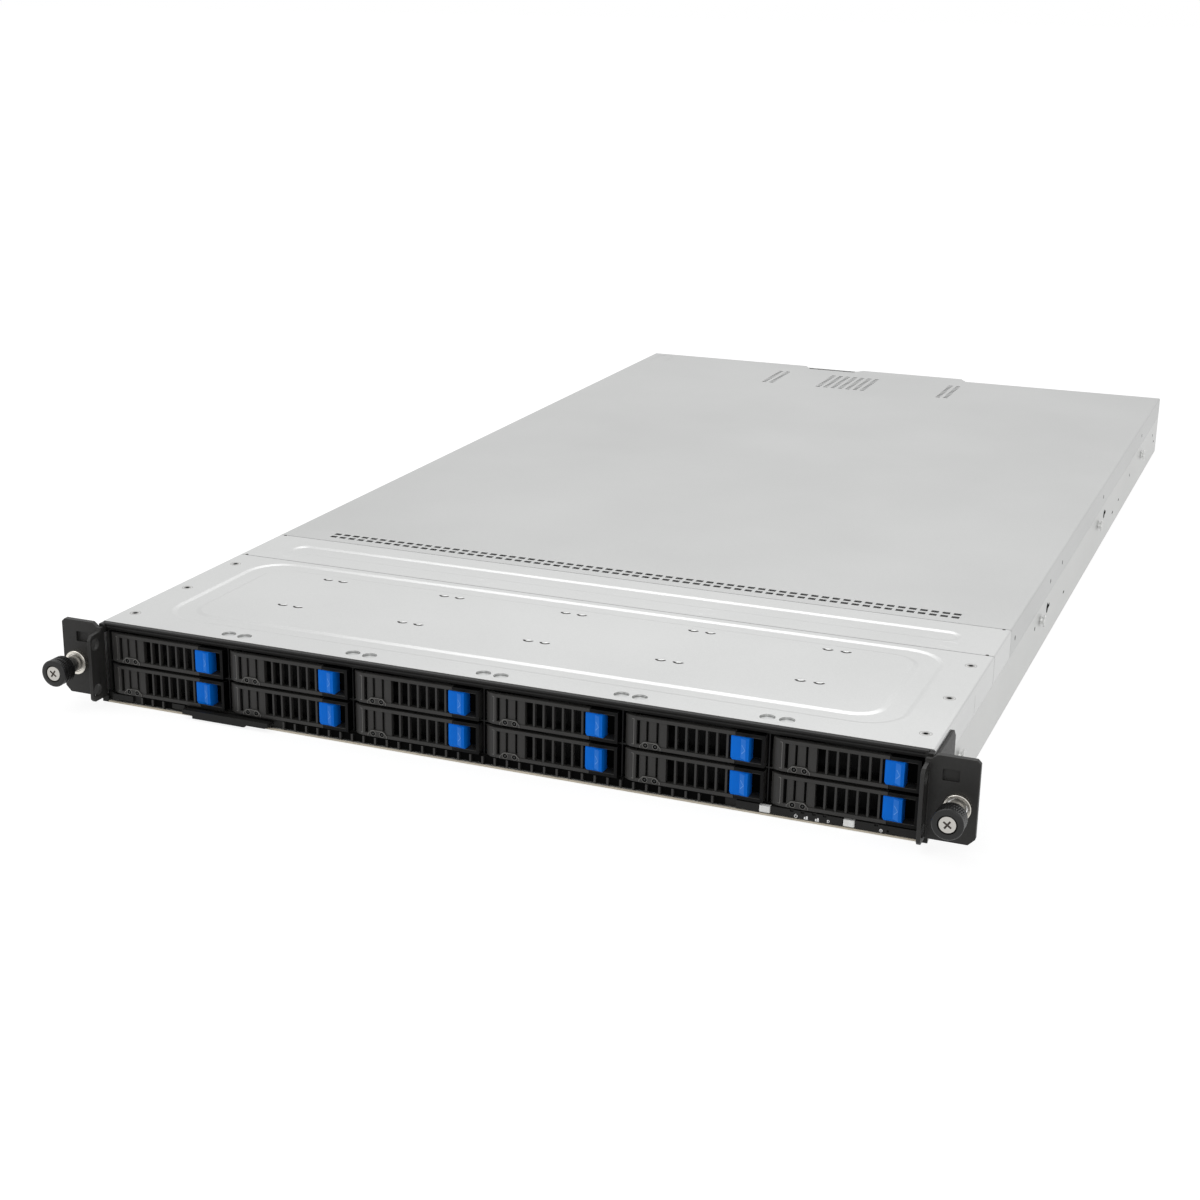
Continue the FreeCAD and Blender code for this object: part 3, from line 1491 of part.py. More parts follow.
def supply_handle(name, left, middle, back):
    """The square loop handle on a power supply's rear face."""
    bar = d.handle_bar
    x = span(left + d.handle_x - d.handle_width / 2, bar)
    low, high = around(middle, d.handle_height)
    tip = back + d.handle_reach
    parts = [block(name + "_grip", x, (tip - bar, tip), (low, high))]
    for i, z in enumerate((low, high - bar)):
        parts.append(block(f"{name}_arm_{i}", x, (back - PAST, tip - bar / 2), span(z, bar)))
    return parts


def power_supply(index):
    """A power supply: a closed case with a fan grille, a mains inlet and a handle."""
    left = psu_left_edge(index)
    low = d.sheet + d.psu_lift
    back = d.chassis_depth
    name = f"power_supply_{index + 1}"
    case = block(name + "_case", span(left, d.psu_width), (back - d.psu_length, back),
                 span(low, d.psu_height))
    parts = [cut(name + "_open", case, *supply_openings(name, left, low, back))]
    for i, (x, z) in enumerate(INLET_BLADES):
        parts.append(block(f"{name}_blade_{i}", around(left + d.inlet_x + x, d.blade_side),
                           (back - d.inlet_depth - PAST, back - d.blade_inset),
                           around(low + d.inlet_low + z, d.blade_height)))
    parts += supply_handle(name, left, low + d.psu_height / 2, back)
    return node(name, fuse(name + "_whole", *parts))


def psu_latch(index):
    """The side latch of a power supply, pressed sideways with the thumb."""
    left, right = around(psu_left_edge(index) + d.latch_x, d.latch_width)
    middle = d.sheet + d.psu_lift + d.psu_height / 2
    back = d.chassis_depth
    tip = back + d.latch_reach
    name = f"psu_latch_{index + 1}"
    body = new_body(name + "_body")
    plan = sketch_on(body, "XY", name + "_plan", middle - d.latch_height / 2)
    outline(plan, [
        (left, back - d.latch_root), (right, back - d.latch_root), (right, tip - d.latch_thumb),
        (right - d.latch_thumb_top, tip), (right - 2 * d.latch_thumb_top, tip),
        (left + d.latch_arm, back + d.latch_arm_reach), (left, back + d.latch_arm_reach),
    ])
    pad(body, plan, d.latch_height, name + "_pad")
    return node(name, body)


def build():
    """Make every sub-part, in the order that a bench assembly would follow."""
    base_chassis()
    drive_cage()
    drive_backplane()
    fan_modules()
    motherboard()
    cpu_heatsinks()
    dimm_modules()
    for index in (0, 1):
        power_supply(index)
        psu_latch(index)
    bays()
    front_bezel()
    control_panel()
    key("power_button", d.power_key_x)
    key("id_button", d.id_key_x)
    pull_tag()
    ears()
    front_top_cover()
    middle_top_cover()
    rear_top_cover()


def sub_parts():
    """The finished sub-parts: the compounds that nothing else in the document uses."""
    found = [item for item in doc.Objects if item.TypeId == "Part::Compound" and not item.InList]
    return sorted(found, key=lambda item: item.Label)


def check_and_export():
    """Stop on any failed feature or bad shape, and write one file for each sub-part."""
    for item in doc.Objects:
        if "Invalid" in item.State or "Error" in item.State:
            raise RuntimeError(f"{item.Name} failed to compute: {item.State}")
    parts = sub_parts()
    for part in parts:
        if part.Shape.isNull() or not part.Shape.isValid() or not part.Shape.Solids:
            raise RuntimeError(f"{part.Label} has no valid shape")
    os.makedirs("parts", exist_ok=True)
    for part in parts:
        part.Shape.exportStep(f"parts/{part.Label}.step")
    print(len(parts), "sub-parts written")


build()
doc.recompute()
check_and_export()
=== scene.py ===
"""The finished look of a 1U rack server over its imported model.

Places in this file are in millimetres in the server's own terms: x to the right from the
middle, y back from the front edge of the front top cover, z up from the floor of the body.
"""

import math

import bmesh
import bpy
from mathutils import Matrix, Vector


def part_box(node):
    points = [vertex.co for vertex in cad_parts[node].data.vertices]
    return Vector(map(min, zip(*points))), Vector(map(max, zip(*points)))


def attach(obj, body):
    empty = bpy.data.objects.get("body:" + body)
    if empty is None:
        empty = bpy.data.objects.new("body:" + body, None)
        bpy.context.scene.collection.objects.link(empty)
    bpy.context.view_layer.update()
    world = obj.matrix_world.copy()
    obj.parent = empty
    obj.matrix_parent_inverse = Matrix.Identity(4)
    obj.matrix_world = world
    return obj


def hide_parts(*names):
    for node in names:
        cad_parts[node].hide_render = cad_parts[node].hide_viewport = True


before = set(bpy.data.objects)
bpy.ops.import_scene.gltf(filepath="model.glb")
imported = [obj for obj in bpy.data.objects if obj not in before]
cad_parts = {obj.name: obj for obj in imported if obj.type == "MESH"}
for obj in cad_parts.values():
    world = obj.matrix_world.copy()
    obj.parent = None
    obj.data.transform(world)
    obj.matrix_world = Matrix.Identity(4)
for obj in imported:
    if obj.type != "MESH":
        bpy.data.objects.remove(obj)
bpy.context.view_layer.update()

MM = 0.001
ORIGIN = Vector((0.0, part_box("front_top_cover")[0][1], 0.0))

# The sheet-metal body
HALF = 219.75
TOP = 43.6
SHEET = 0.9
BEND = 1.0
FLANGE_LOW = 28.6
FRONT_COVER = (0.0, 135.3)
MIDDLE_COVER = (135.8, 181.0)
REAR_COVER = (181.5, 838.5)
GROOVE_DEPTH = 0.58

# The front bays
COLUMNS = 6
ROWS = 2
LEVER_FACE = -4.0
LEVER_BACK = -1.0
LEVER_LOW = 0.55
LEVER_HIGH = 16.15
BAR = 1.75
EDGE = 0.18

# The captive screws in the ears
SCREW_X = 232.55
SCREW_Z = 21.0
KNOB = (-28.0, -18.2)
KNOB_RADIUS = 7.2


def point(x, y, z):
    """A place in millimetres, in metres in the frame of the model."""
    return ORIGIN + Vector((x, y, z)) * MM


# Materials


def new_material(name):
    """An empty node material: its tree, its main shader and a socket for object space."""
    material = bpy.data.materials.new(name)
    material.use_nodes = True
    tree = material.node_tree
    shader = tree.nodes["Principled BSDF"]
    place = tree.nodes.new("ShaderNodeTexCoord").outputs["Object"]
    return material, tree, shader, place


def noise(tree, place, scale, detail=4.0, stretch=None):
    """A noise value; stretch draws it out along an axis."""
    if stretch:
        mapping = tree.nodes.new("ShaderNodeMapping")
        mapping.inputs["Scale"].default_value = stretch
        tree.links.new(place, mapping.inputs["Vector"])
        place = mapping.outputs["Vector"]
    node = tree.nodes.new("ShaderNodeTexNoise")
    node.inputs["Scale"].default_value = scale
    node.inputs["Detail"].default_value = detail
    tree.links.new(place, node.inputs["Vector"])
    return node.outputs["Fac"]


def ramp(tree, value, low, high, start=0.3, end=0.7):
    """Colours between low and high as value goes from start to end."""
    node = tree.nodes.new("ShaderNodeValToRGB")
    node.color_ramp.elements[0].position = start
    node.color_ramp.elements[0].color = (*low, 1.0)
    node.color_ramp.elements[1].position = end
    node.color_ramp.elements[1].color = (*high, 1.0)
    tree.links.new(value, node.inputs["Fac"])
    return node.outputs["Color"]


def spread(tree, value, low, high):
    """A number between low and high as value goes from 0.3 to 0.7."""
    node = tree.nodes.new("ShaderNodeMapRange")
    node.inputs["From Min"].default_value = 0.3
    node.inputs["From Max"].default_value = 0.7
    node.inputs["To Min"].default_value = low
    node.inputs["To Max"].default_value = high
    tree.links.new(value, node.inputs["Value"])
    return node.outputs["Result"]


def bump(tree, shader, value, distance, strength=1.0):
    """Small relief from a value, distance metres high."""
    node = tree.nodes.new("ShaderNodeBump")
    node.inputs["Distance"].default_value = distance
    node.inputs["Strength"].default_value = strength
    tree.links.new(value, node.inputs["Height"])
    tree.links.new(node.outputs["Normal"], shader.inputs["Normal"])


def shade(rgb, factor):
    """A lighter or darker copy of a colour."""
    return tuple(channel * factor for channel in rgb)


def past(tree, value, limit):
    """1 where a value is greater than a limit, else 0."""
    node = tree.nodes.new("ShaderNodeMath")
    node.operation = "GREATER_THAN"
    node.inputs[1].default_value = limit
    tree.links.new(value, node.inputs[0])
    return node.outputs["Value"]


def place_in_box(tree):
    """The place inside the object's own box, from 0 to 1 on each axis."""
    box = tree.nodes.new("ShaderNodeTexCoord").outputs["Generated"]
    split = tree.nodes.new("ShaderNodeSeparateXYZ")
    tree.links.new(box, split.inputs["Vector"])
    return split.outputs


def colour_mix(tree, factor):
    """A mixer of two colours, A and B."""
    mix = tree.nodes.new("ShaderNodeMix")
    mix.data_type = "RGBA"
    tree.links.new(factor, mix.inputs["Factor"])
    return mix


def sheet_metal(name, rgb, rough=(0.31, 0.35), metallic=0.9, grain=1.0, edge=0.95):
    """Zinc-coated or plain sheet: fine grain, slow cloudiness, and edge as its tint at a glance."""
    material, tree, shader, place = new_material(name)
    cloud = noise(tree, place, 9.0, 3.0)
    speck = noise(tree, place, 1500.0, 2.0)
    mix = tree.nodes.new("ShaderNodeMix")
    mix.inputs["Factor"].default_value = 0.5
    tree.links.new(cloud, mix.inputs["A"])
    tree.links.new(speck, mix.inputs["B"])
    colour = ramp(tree, mix.outputs["Result"], shade(rgb, 0.95), shade(rgb, 1.04), 0.35, 0.65)
    tree.links.new(colour, shader.inputs["Base Color"])
    tree.links.new(spread(tree, speck, *rough), shader.inputs["Roughness"])
    shader.inputs["Metallic"].default_value = metallic
    shader.inputs["Specular Tint"].default_value = (edge, edge, edge, 1.0)
    bump(tree, shader, speck, 0.000008 * grain, 0.5)
    return material


def plastic(name, rgb, rough=(0.42, 0.55), relief=0.000012, scale=1800.0, specular=0.5):
    """Moulded plastic or powder coat with a fine eroded texture."""
    material, tree, shader, place = new_material(name)
    fine = noise(tree, place, scale, 3.0)
    broad = noise(tree, place, 60.0, 2.0)
    colour = ramp(tree, broad, shade(rgb, 0.9), shade(rgb, 1.1))
    tree.links.new(colour, shader.inputs["Base Color"])
    tree.links.new(spread(tree, fine, *rough), shader.inputs["Roughness"])
    shader.inputs["Specular IOR Level"].default_value = specular
    bump(tree, shader, fine, relief, 0.8)
    return material


def carrier_material(name, shaded_front_share):
    """Dark moulding at the front end of a carrier, painted near black so it also stands as painted shade seen
    through the lever's slots; drive metal and tray steel behind it.
    """
    material, tree, shader, place = new_material(name)
    behind = past(tree, place_in_box(tree)["Y"], shaded_front_share)
    cloud = noise(tree, place, 40.0, 3.0)
    mix = colour_mix(tree, behind)
    mix.inputs["A"].default_value = (0.009, 0.009, 0.009, 1.0)
    tree.links.new(ramp(tree, cloud, (0.36, 0.365, 0.37), (0.42, 0.425, 0.43)), mix.inputs["B"])
    tree.links.new(mix.outputs["Result"], shader.inputs["Base Color"])
    tree.links.new(behind, shader.inputs["Metallic"])
    shader.inputs["Specular IOR Level"].default_value = 0.1
    tree.links.new(spread(tree, noise(tree, place, 900.0), 0.4, 0.5), shader.inputs["Roughness"])
    return material


def circuit_board(name, metal_from=None):
    """Lacquered board with darker runs of track; metal at its far end, above the board, if asked."""
    material, tree, shader, place = new_material(name)
    tracks = tree.nodes.new("ShaderNodeTexBrick")
    tracks.inputs["Scale"].default_value = 60.0
    tracks.inputs["Mortar Size"].default_value = 0.03
    tracks.inputs["Color1"].default_value = (0.012, 0.085, 0.04, 1.0)
    tracks.inputs["Color2"].default_value = (0.016, 0.11, 0.05, 1.0)
    tracks.inputs["Mortar"].default_value = (0.03, 0.17, 0.08, 1.0)
    tree.links.new(place, tracks.inputs["Vector"])
    colour = tracks.outputs["Color"]
    if metal_from:
        metal = tree.nodes.new("ShaderNodeMath")
        metal.operation = "MULTIPLY"
        box = place_in_box(tree)
        for socket, axis, limit in zip(metal.inputs, "YZ", metal_from):
            tree.links.new(past(tree, box[axis], limit), socket)
        mix = colour_mix(tree, metal.outputs["Value"])
        tree.links.new(colour, mix.inputs["A"])
        mix.inputs["B"].default_value = (0.45, 0.45, 0.44, 1.0)
        tree.links.new(metal.outputs["Value"], shader.inputs["Metallic"])
        colour = mix.outputs["Result"]
    tree.links.new(colour, shader.inputs["Base Color"])
    tree.links.new(spread(tree, noise(tree, place, 120.0), 0.25, 0.4), shader.inputs["Roughness"])
    bump(tree, shader, tracks.outputs["Fac"], 0.00002, 0.4)
    return material


ZINC = sheet_metal("zinc_sheet", (0.60, 0.605, 0.60))
ZINC_REAR = sheet_metal("zinc_rear", (0.585, 0.59, 0.585), (0.33, 0.37), edge=0.8)
ZINC_SIDE = sheet_metal("zinc_side", (0.71, 0.715, 0.705), (0.34, 0.4), edge=0.72)
CAGE = sheet_metal("cage_sheet", (0.012, 0.012, 0.012), (0.45, 0.55), 0.5)
NICKEL = sheet_metal("nickel", (0.50, 0.485, 0.455), (0.2, 0.26), 1.0, 0.05)
FERRULE = sheet_metal("ferrule_nickel", (0.74, 0.71, 0.65), (0.26, 0.32), 1.0, 0.05)
SUPPLY = sheet_metal("supply_sheet", (0.50, 0.51, 0.52))
ALUMINIUM = sheet_metal("fin_metal", (0.78, 0.79, 0.80), (0.3, 0.4), 1.0)
EAR_PAINT = plastic("ear_paint", (0.019, 0.0185, 0.0175), (0.45, 0.6), 0.00002, 1300.0, 0.35)
CHARCOAL = plastic("charcoal", (0.030, 0.029, 0.0275), specular=0.32)
DARK = plastic("dark_moulding", (0.011, 0.0107, 0.0102), (0.4, 0.55), specular=0.2)
# Near black: painted shade in holes, slots, sockets, recesses and pockets.
BLACK = plastic("painted_shade_black", (0.003, 0.003, 0.003), (0.6, 0.7), specular=0.02)
KNOB_BLACK = plastic("knob_black", (0.008, 0.008, 0.008), (0.25, 0.35), specular=0.4)
BLUE = plastic("release_blue", (0.0, 0.155, 0.70), (0.4, 0.5), 0.000006, specular=0.12)
# Paler blue: a painted highlight on the button's sloping band.
BLUE_HIGHLIGHT = plastic("release_blue_painted_highlight", (0.02, 0.205, 0.77), (0.4, 0.5), 0.000004, specular=0.2)
# Painted shadow: dark crescents under rivets and dark discs for the shade in seam holes and dimples.
PAINTED_SHADOW = plastic("shadow_gap", (0.045, 0.043, 0.04), (0.5, 0.6), 0.000002, specular=0.1)
ZINC_EDGE = plastic("cut_zinc_edge", (0.62, 0.56, 0.45), (0.5, 0.65), 0.00001, 900.0)
STEEL = sheet_metal("dark_steel", (0.30, 0.295, 0.285), (0.28, 0.34), 0.9, 0.1)
# Lighter than the lever's charcoal: a painted highlight on raised edges.
TRIM_HIGHLIGHT = plastic("painted_edge_highlight", (0.13, 0.127, 0.12), (0.35, 0.45))
# Paler blue: a painted highlight on the button's raised arrow.
BLUE_LINE_HIGHLIGHT = plastic("release_blue_line_highlight", (0.12, 0.36, 0.88), (0.4, 0.5), 0.000004, specular=0.2)
# Dark brown: painted shade on the floor of the screws' cross recesses.
RECESS_SHADE = plastic("screw_recess", (0.035, 0.024, 0.017), (0.5, 0.6), 0.000002)
WHITE = plastic("key_white", (0.92, 0.92, 0.90), (0.3, 0.4), 0.000004)
PRINT = plastic("white_print", (0.95, 0.95, 0.94), (0.5, 0.6), 0.000002)
LENS = plastic("lamp_lens", (0.02, 0.022, 0.022), (0.08, 0.14), 0.000001)
LATCH_RED = plastic("latch_red", (0.30, 0.02, 0.015))
BOARD = circuit_board("board_lacquer")
SOCKET_SHARES = (0.97, 0.24)
MAIN_BOARD = circuit_board("main_board", SOCKET_SHARES)
# The front share of each carrier is painted near black: its dark moulding, darkened further as painted shade
# seen through the lever's slots.
SHADED_FRONT_SHARE = 0.2
CARRIER = carrier_material("carrier_and_drive", SHADED_FRONT_SHARE)


# Mesh building


def add_faces(bm, rings, closed=True, cap=False):
    """Faces between rings of points, given in millimetres, with the last ring filled if asked."""
    rows = [[bm.verts.new(Vector(p) * MM) for p in ring] for ring in rings]
    for first, second in zip(rows, rows[1:]):
        count = len(first)
        for i in range(count if closed else count - 1):
            j = (i + 1) % count
            bm.faces.new((first[i], first[j], second[j], second[i]))
    if cap:
        bm.faces.new(rows[-1])
    return rows


def solid_between(rings):
    """A working mesh of a closed solid that runs through rings of points."""
    part = bmesh.new()
    rows = add_faces(part, rings, cap=True)
    part.faces.new(list(reversed(rows[0])))
    bmesh.ops.recalc_face_normals(part, faces=part.faces)
    return part


def arc_outline(centre, outer, inner, start, end, steps):
    """A bent strip between two radii, from a start to an end angle in degrees."""
    angles = [math.radians(start + (end - start) * i / steps) for i in range(steps + 1)]
    outline = [(centre[0] + outer * math.cos(a), centre[1] + outer * math.sin(a)) for a in angles]
    return outline + [(centre[0] + inner * math.cos(a), centre[1] + inner * math.sin(a))
                      for a in reversed(angles)]


def add_prism(bm, outline, low, high, axis="z", bevel=0.0):
    """A closed prism: outline points in the plane across the axis, from low to high along it."""
    def place(a, b, c):
        return {"x": (c, a, b), "y": (a, c, b), "z": (a, b, c)}[axis]

    part = solid_between([[place(a, b, c) for a, b in outline] for c in (low, high)])
    if bevel:
        bmesh.ops.bevel(part, geom=list(part.edges), offset=bevel * MM, segments=2, profile=0.7,
                        affect="EDGES", clamp_overlap=True)
    merge_into(bm, part)


def add_box(bm, x, y, z, bevel=0.0):
    """A box between two planes on each axis, with small rounded edges if a bevel is given."""
    outline = [(x[0], y[0]), (x[1], y[0]), (x[1], y[1]), (x[0], y[1])]
    add_prism(bm, outline, z[0], z[1], "z", bevel)


def add_bar(bm, start, end, half_width, low, high, axis="z"):
    """A flat bar between two points of the plane across an axis."""
    along = Vector((end[0] - start[0], end[1] - start[1])).normalized() * half_width
    across = Vector((-along.y, along.x))
    corners = [Vector(start) - along + across, Vector(start) - along - across,
               Vector(end) + along - across, Vector(end) + along + across]
    add_prism(bm, [tuple(corner) for corner in corners], low, high, axis)


def add_lathe(bm, profile, centre, segments=48, axis="y", loop=False):
    """A turned shape: profile points are (radius, distance along the axis), in a loop for a ring."""
    rings = []
    for radius, along in profile + profile[:1] if loop else profile:
        ring = []
        for i in range(segments):
            angle = 2 * math.pi * i / segments
            a, b = radius * math.cos(angle), radius * math.sin(angle)
            offset = {"x": (along, a, b), "y": (a, along, b), "z": (a, b, along)}[axis]
            ring.append(tuple(c + o for c, o in zip(centre, offset)))
        rings.append(ring)
    part = bmesh.new()
    rows = add_faces(part, rings)
    for row, radius in ((rows[0], profile[0][0]), (rows[-1], profile[-1][0])):
        if radius > 0 and not loop:
            part.faces.new(row)
    bmesh.ops.remove_doubles(part, verts=part.verts, dist=1e-7)
    bmesh.ops.dissolve_degenerate(part, edges=part.edges, dist=1e-8)
    bmesh.ops.recalc_face_normals(part, faces=part.faces)
    merge_into(bm, part)


def merge_into(bm, part):
    """Add the faces of one working mesh to another."""
    lookup = [bm.verts.new(v.co) for v in part.verts]
    part.verts.index_update()
    for face in part.faces:
        bm.faces.new([lookup[v.index] for v in face.verts])
    part.free()


def finished(name, bm, material, angle=35.0):
    """A mesh from working data, with smooth faces and crisp edges."""
    mesh = bpy.data.meshes.new(name)
    bm.to_mesh(mesh)
    bm.free()
    mesh.shade_smooth()
    mesh.set_sharp_from_angle(angle=math.radians(angle))
    mesh.materials.append(material)
    return mesh


def piece(name, mesh, body, place=(0.0, 0.0, 0.0)):
    """An object at a place in millimetres that rides on a body."""
    obj = bpy.data.objects.new(name, mesh)
    bpy.context.scene.collection.objects.link(obj)
    obj.location = point(*place)
    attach(obj, body)
    return obj


def rounded_loop(x, y, z, radius, steps=8):
    """Points round a rectangle with round corners, at one height."""
    points = []
    corners = ((x[1], y[0], -90), (x[1], y[1], 0), (x[0], y[1], 90), (x[0], y[0], 180))
    for corner_x, corner_y, start in corners:
        centre_x = corner_x - radius if corner_x == x[1] else corner_x + radius
        centre_y = corner_y - radius if corner_y == y[1] else corner_y + radius
        for i in range(steps + 1):
            angle = math.radians(start + 90.0 * i / steps)
            points.append((centre_x + radius * math.cos(angle), centre_y + radius * math.sin(angle), z))
    return points


def inset(limits, amount):
    return (limits[0] + amount, limits[1] - amount)


def add_flange(bm, side, y_lines):
    """The bent edge and the hanging flange along one side of a cover."""
    steps = 5
    line = []
    for i in range(steps + 1):
        angle = math.radians(90.0 * i / steps)
        line.append((HALF - BEND + BEND * math.sin(angle), TOP - BEND + BEND * math.cos(angle)))
    line.append((HALF, FLANGE_LOW))
    add_faces(bm, [[(side * x, y, z) for x, z in line] for y in y_lines], closed=False)


def face_outwards(bm):
    """Turn every face of a cover's skin up, or away from the middle on its flanges."""
    bm.normal_update()
    for face in bm.faces:
        middle = face.calc_center_median()
        side = math.copysign(1.0, middle.x) if abs(middle.x) > (HALF - BEND) * MM else 0.0
        if face.normal.z + side * face.normal.x < 0:
            face.normal_flip()


def sheet_mesh(name, bm, material, holes=None):
    """Thicken a single skin downwards to a sheet, and cut round holes through it."""
    bmesh.ops.remove_doubles(bm, verts=bm.verts, dist=2e-6)
    face_outwards(bm)
    mesh = finished(name, bm, material)
    work = bpy.data.objects.new(name + "_work", mesh)
    bpy.context.scene.collection.objects.link(work)
    thicken = work.modifiers.new("sheet", "SOLIDIFY")
    thicken.thickness = SHEET * MM
    thicken.offset = -1.0
    baked = baked_mesh(work)
    bpy.data.objects.remove(work)
    return carved(baked, cutting_rods(holes)) if holes else baked


def carved(mesh, tools):
    """The mesh with the closed shapes in a working mesh cut out of it."""
    work = bpy.data.objects.new(mesh.name + "_work", mesh)
    cutter_mesh = bpy.data.meshes.new("cutter")
    tools.to_mesh(cutter_mesh)
    tools.free()
    cutter = bpy.data.objects.new("cutter", cutter_mesh)
    for obj in (work, cutter):
        bpy.context.scene.collection.objects.link(obj)
    cut = work.modifiers.new("cut", "BOOLEAN")
    cut.object = cutter
    cut.operation = "DIFFERENCE"
    cut.solver = "EXACT"
    cut.use_self = True
    baked = baked_mesh(work)
    bpy.data.objects.remove(work)
    bpy.data.objects.remove(cutter)
    return baked


def baked_mesh(obj):
    """The object's mesh with its modifiers applied."""
    bpy.context.view_layer.update()
    graph = bpy.context.evaluated_depsgraph_get()
    mesh = bpy.data.meshes.new_from_object(obj.evaluated_get(graph))
    mesh.name = obj.name.replace("_work", "_mesh")
    mesh.shade_smooth()
    mesh.set_sharp_from_angle(angle=math.radians(35.0))
    return mesh


def cutting_rods(holes):
    """A working mesh of upright rods, from (x, y, radius) in millimetres."""
    bm = bmesh.new()
    for x, y, radius in holes:
        add_lathe(bm, [(radius, TOP - 3), (radius, TOP + 2)], (x, y, 0), 32, "z")
    return bm


# Top covers

PAIR_X = ((-148.1, -138.8), (-76.0, -66.6), (-4.0, 5.3), (68.0, 77.3), (140.0, 149.4))
ROUND_HOLE_Y = 8.0
ROUND_HOLE_RADIUS = 3.75
DOME_ROWS = (63.0, 113.0)
DOME_HIGH = 0.28
DOME_RADIUS = 1.9
COVER_SCREW_X = 211.5
COVER_SCREW_Y = (17.3, 67.0, 117.0)
SEAM_HOLE_X = 215.8
SEAM_HOLE_Y = (136.4, 180.6)
RING_X = (-196.5, -66.3, 63.9, 194.5)
RING_Y = 145.0
THUMB_MARK = ((-212.5, 806.0), (-212.5, 826.0), (-209.0, 832.0), (-203.0, 832.0), (-199.5, 826.0),
              (-199.5, 806.0))


def channel(limits_x, limits_y, radius, slope, direction):
    """Rings of points down (or up, for direction -1) one sloping side of a pressed channel."""
    rings = []
    for share, drop in ((-0.12, 0.0), (0.0, 0.0), (0.2, 0.1), (0.8, 0.9), (1.0, 1.0), (1.12, 1.0)):
        move = share * slope * direction
        rings.append(rounded_loop(inset(limits_x, move), inset(limits_y, move), TOP - GROOVE_DEPTH * drop,
                                  radius - move))
    return rings


def front_cover():
    """The fixed front cover: a ring groove with sloping sides and a row of round holes."""
    bm = bmesh.new()
    rings = [rounded_loop((-HALF + BEND, HALF - BEND), FRONT_COVER, TOP, 0.01)]
    rings += channel((-199.5, 199.5), (18.0, 131.0), 22.0, 2.8, 1)
    rings += reversed(channel((-185.0, 185.0), (30.5, 118.0), 13.0, 2.8, -1))
    add_faces(bm, rings, cap=True)
    for side in (-1, 1):
        add_flange(bm, side, FRONT_COVER)
    holes = [(x, ROUND_HOLE_Y, ROUND_HOLE_RADIUS) for pair in PAIR_X for x in pair]
    skin = piece("front_cover_skin", sheet_mesh("front_cover_work", bm, ZINC, holes), "chassis")
    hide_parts("front_top_cover")
    backing = bmesh.new()
    for x, y, radius in holes:
        plate = [(0.0, 0.0), (radius + 0.5, 0.0), (radius + 0.5, -0.3), (0.0, -0.3)]
        add_lathe(backing, plate, (x, y, TOP - SHEET - 0.1), 24, "z")
    plugs = piece("round_hole_backing", finished("round_hole_backing", backing, ZINC), "chassis")


def middle_cover():
    """The strip behind it, with one long sunken channel."""
    bm = bmesh.new()
    rings = [rounded_loop((-HALF + BEND, HALF - BEND), MIDDLE_COVER, TOP, 0.01)]
    rings += channel((-198.0, 198.0), (150.5, 167.0), 8.0, 2.7, 1)
    add_faces(bm, rings, cap=True)
    for side in (-1, 1):
        add_flange(bm, side, MIDDLE_COVER)
    skin = piece("middle_cover_skin", sheet_mesh("middle_cover_work", bm, ZINC), "chassis")
    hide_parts("middle_top_cover")


# Rear cover: slot rows near its front and slot columns near its back
SLOT_PITCH = 6.07
SLOT_LONG = 4.1
SLOT_WIDE = 3.2
SLOTS = 63
SLOT_ROWS = (189.0, 194.6)
REAR_SLOT_LONG = 3.4
REAR_SLOT_WIDE = 2.4
REAR_SLOT_PITCH = 6.2
REAR_ROWS = 10
REAR_ROW_PITCH = 5.4
REAR_FIRST_ROW = 755.7
REAR_BLOCKS = ((-94.5, 2), (-48.0, 7), (52.0, 2))


def cover_slots():
    """Every slot of the rear cover as (x from, x to, y from, y to)."""
    slots = []
    first = -SLOT_PITCH * (SLOTS - 1) / 2 - SLOT_LONG / 2
    for i in range(SLOTS):
        x = first + i * SLOT_PITCH
        for y in SLOT_ROWS:
            slots.append((x, x + SLOT_LONG, y, y + SLOT_WIDE))
    for left, columns in REAR_BLOCKS:
        for i in range(columns):
            x = left + i * REAR_SLOT_PITCH
            for row in range(REAR_ROWS):
                y = REAR_FIRST_ROW + row * REAR_ROW_PITCH
                slots.append((x, x + REAR_SLOT_LONG, y, y + REAR_SLOT_WIDE))
    return slots


def grid_skin(bm, x_lines, y_lines, is_open):
    """A flat skin over a grid of lines, without the cells that are open."""
    verts = {}

    def corner(i, j):
        if (i, j) not in verts:
            verts[i, j] = bm.verts.new(Vector((x_lines[i], y_lines[j], TOP)) * MM)
        return verts[i, j]

    for i in range(len(x_lines) - 1):
        for j in range(len(y_lines) - 1):
            middle = ((x_lines[i] + x_lines[i + 1]) / 2, (y_lines[j] + y_lines[j + 1]) / 2)
            if not is_open(*middle):
                bm.faces.new((corner(i, j), corner(i + 1, j), corner(i + 1, j + 1), corner(i, j + 1)))


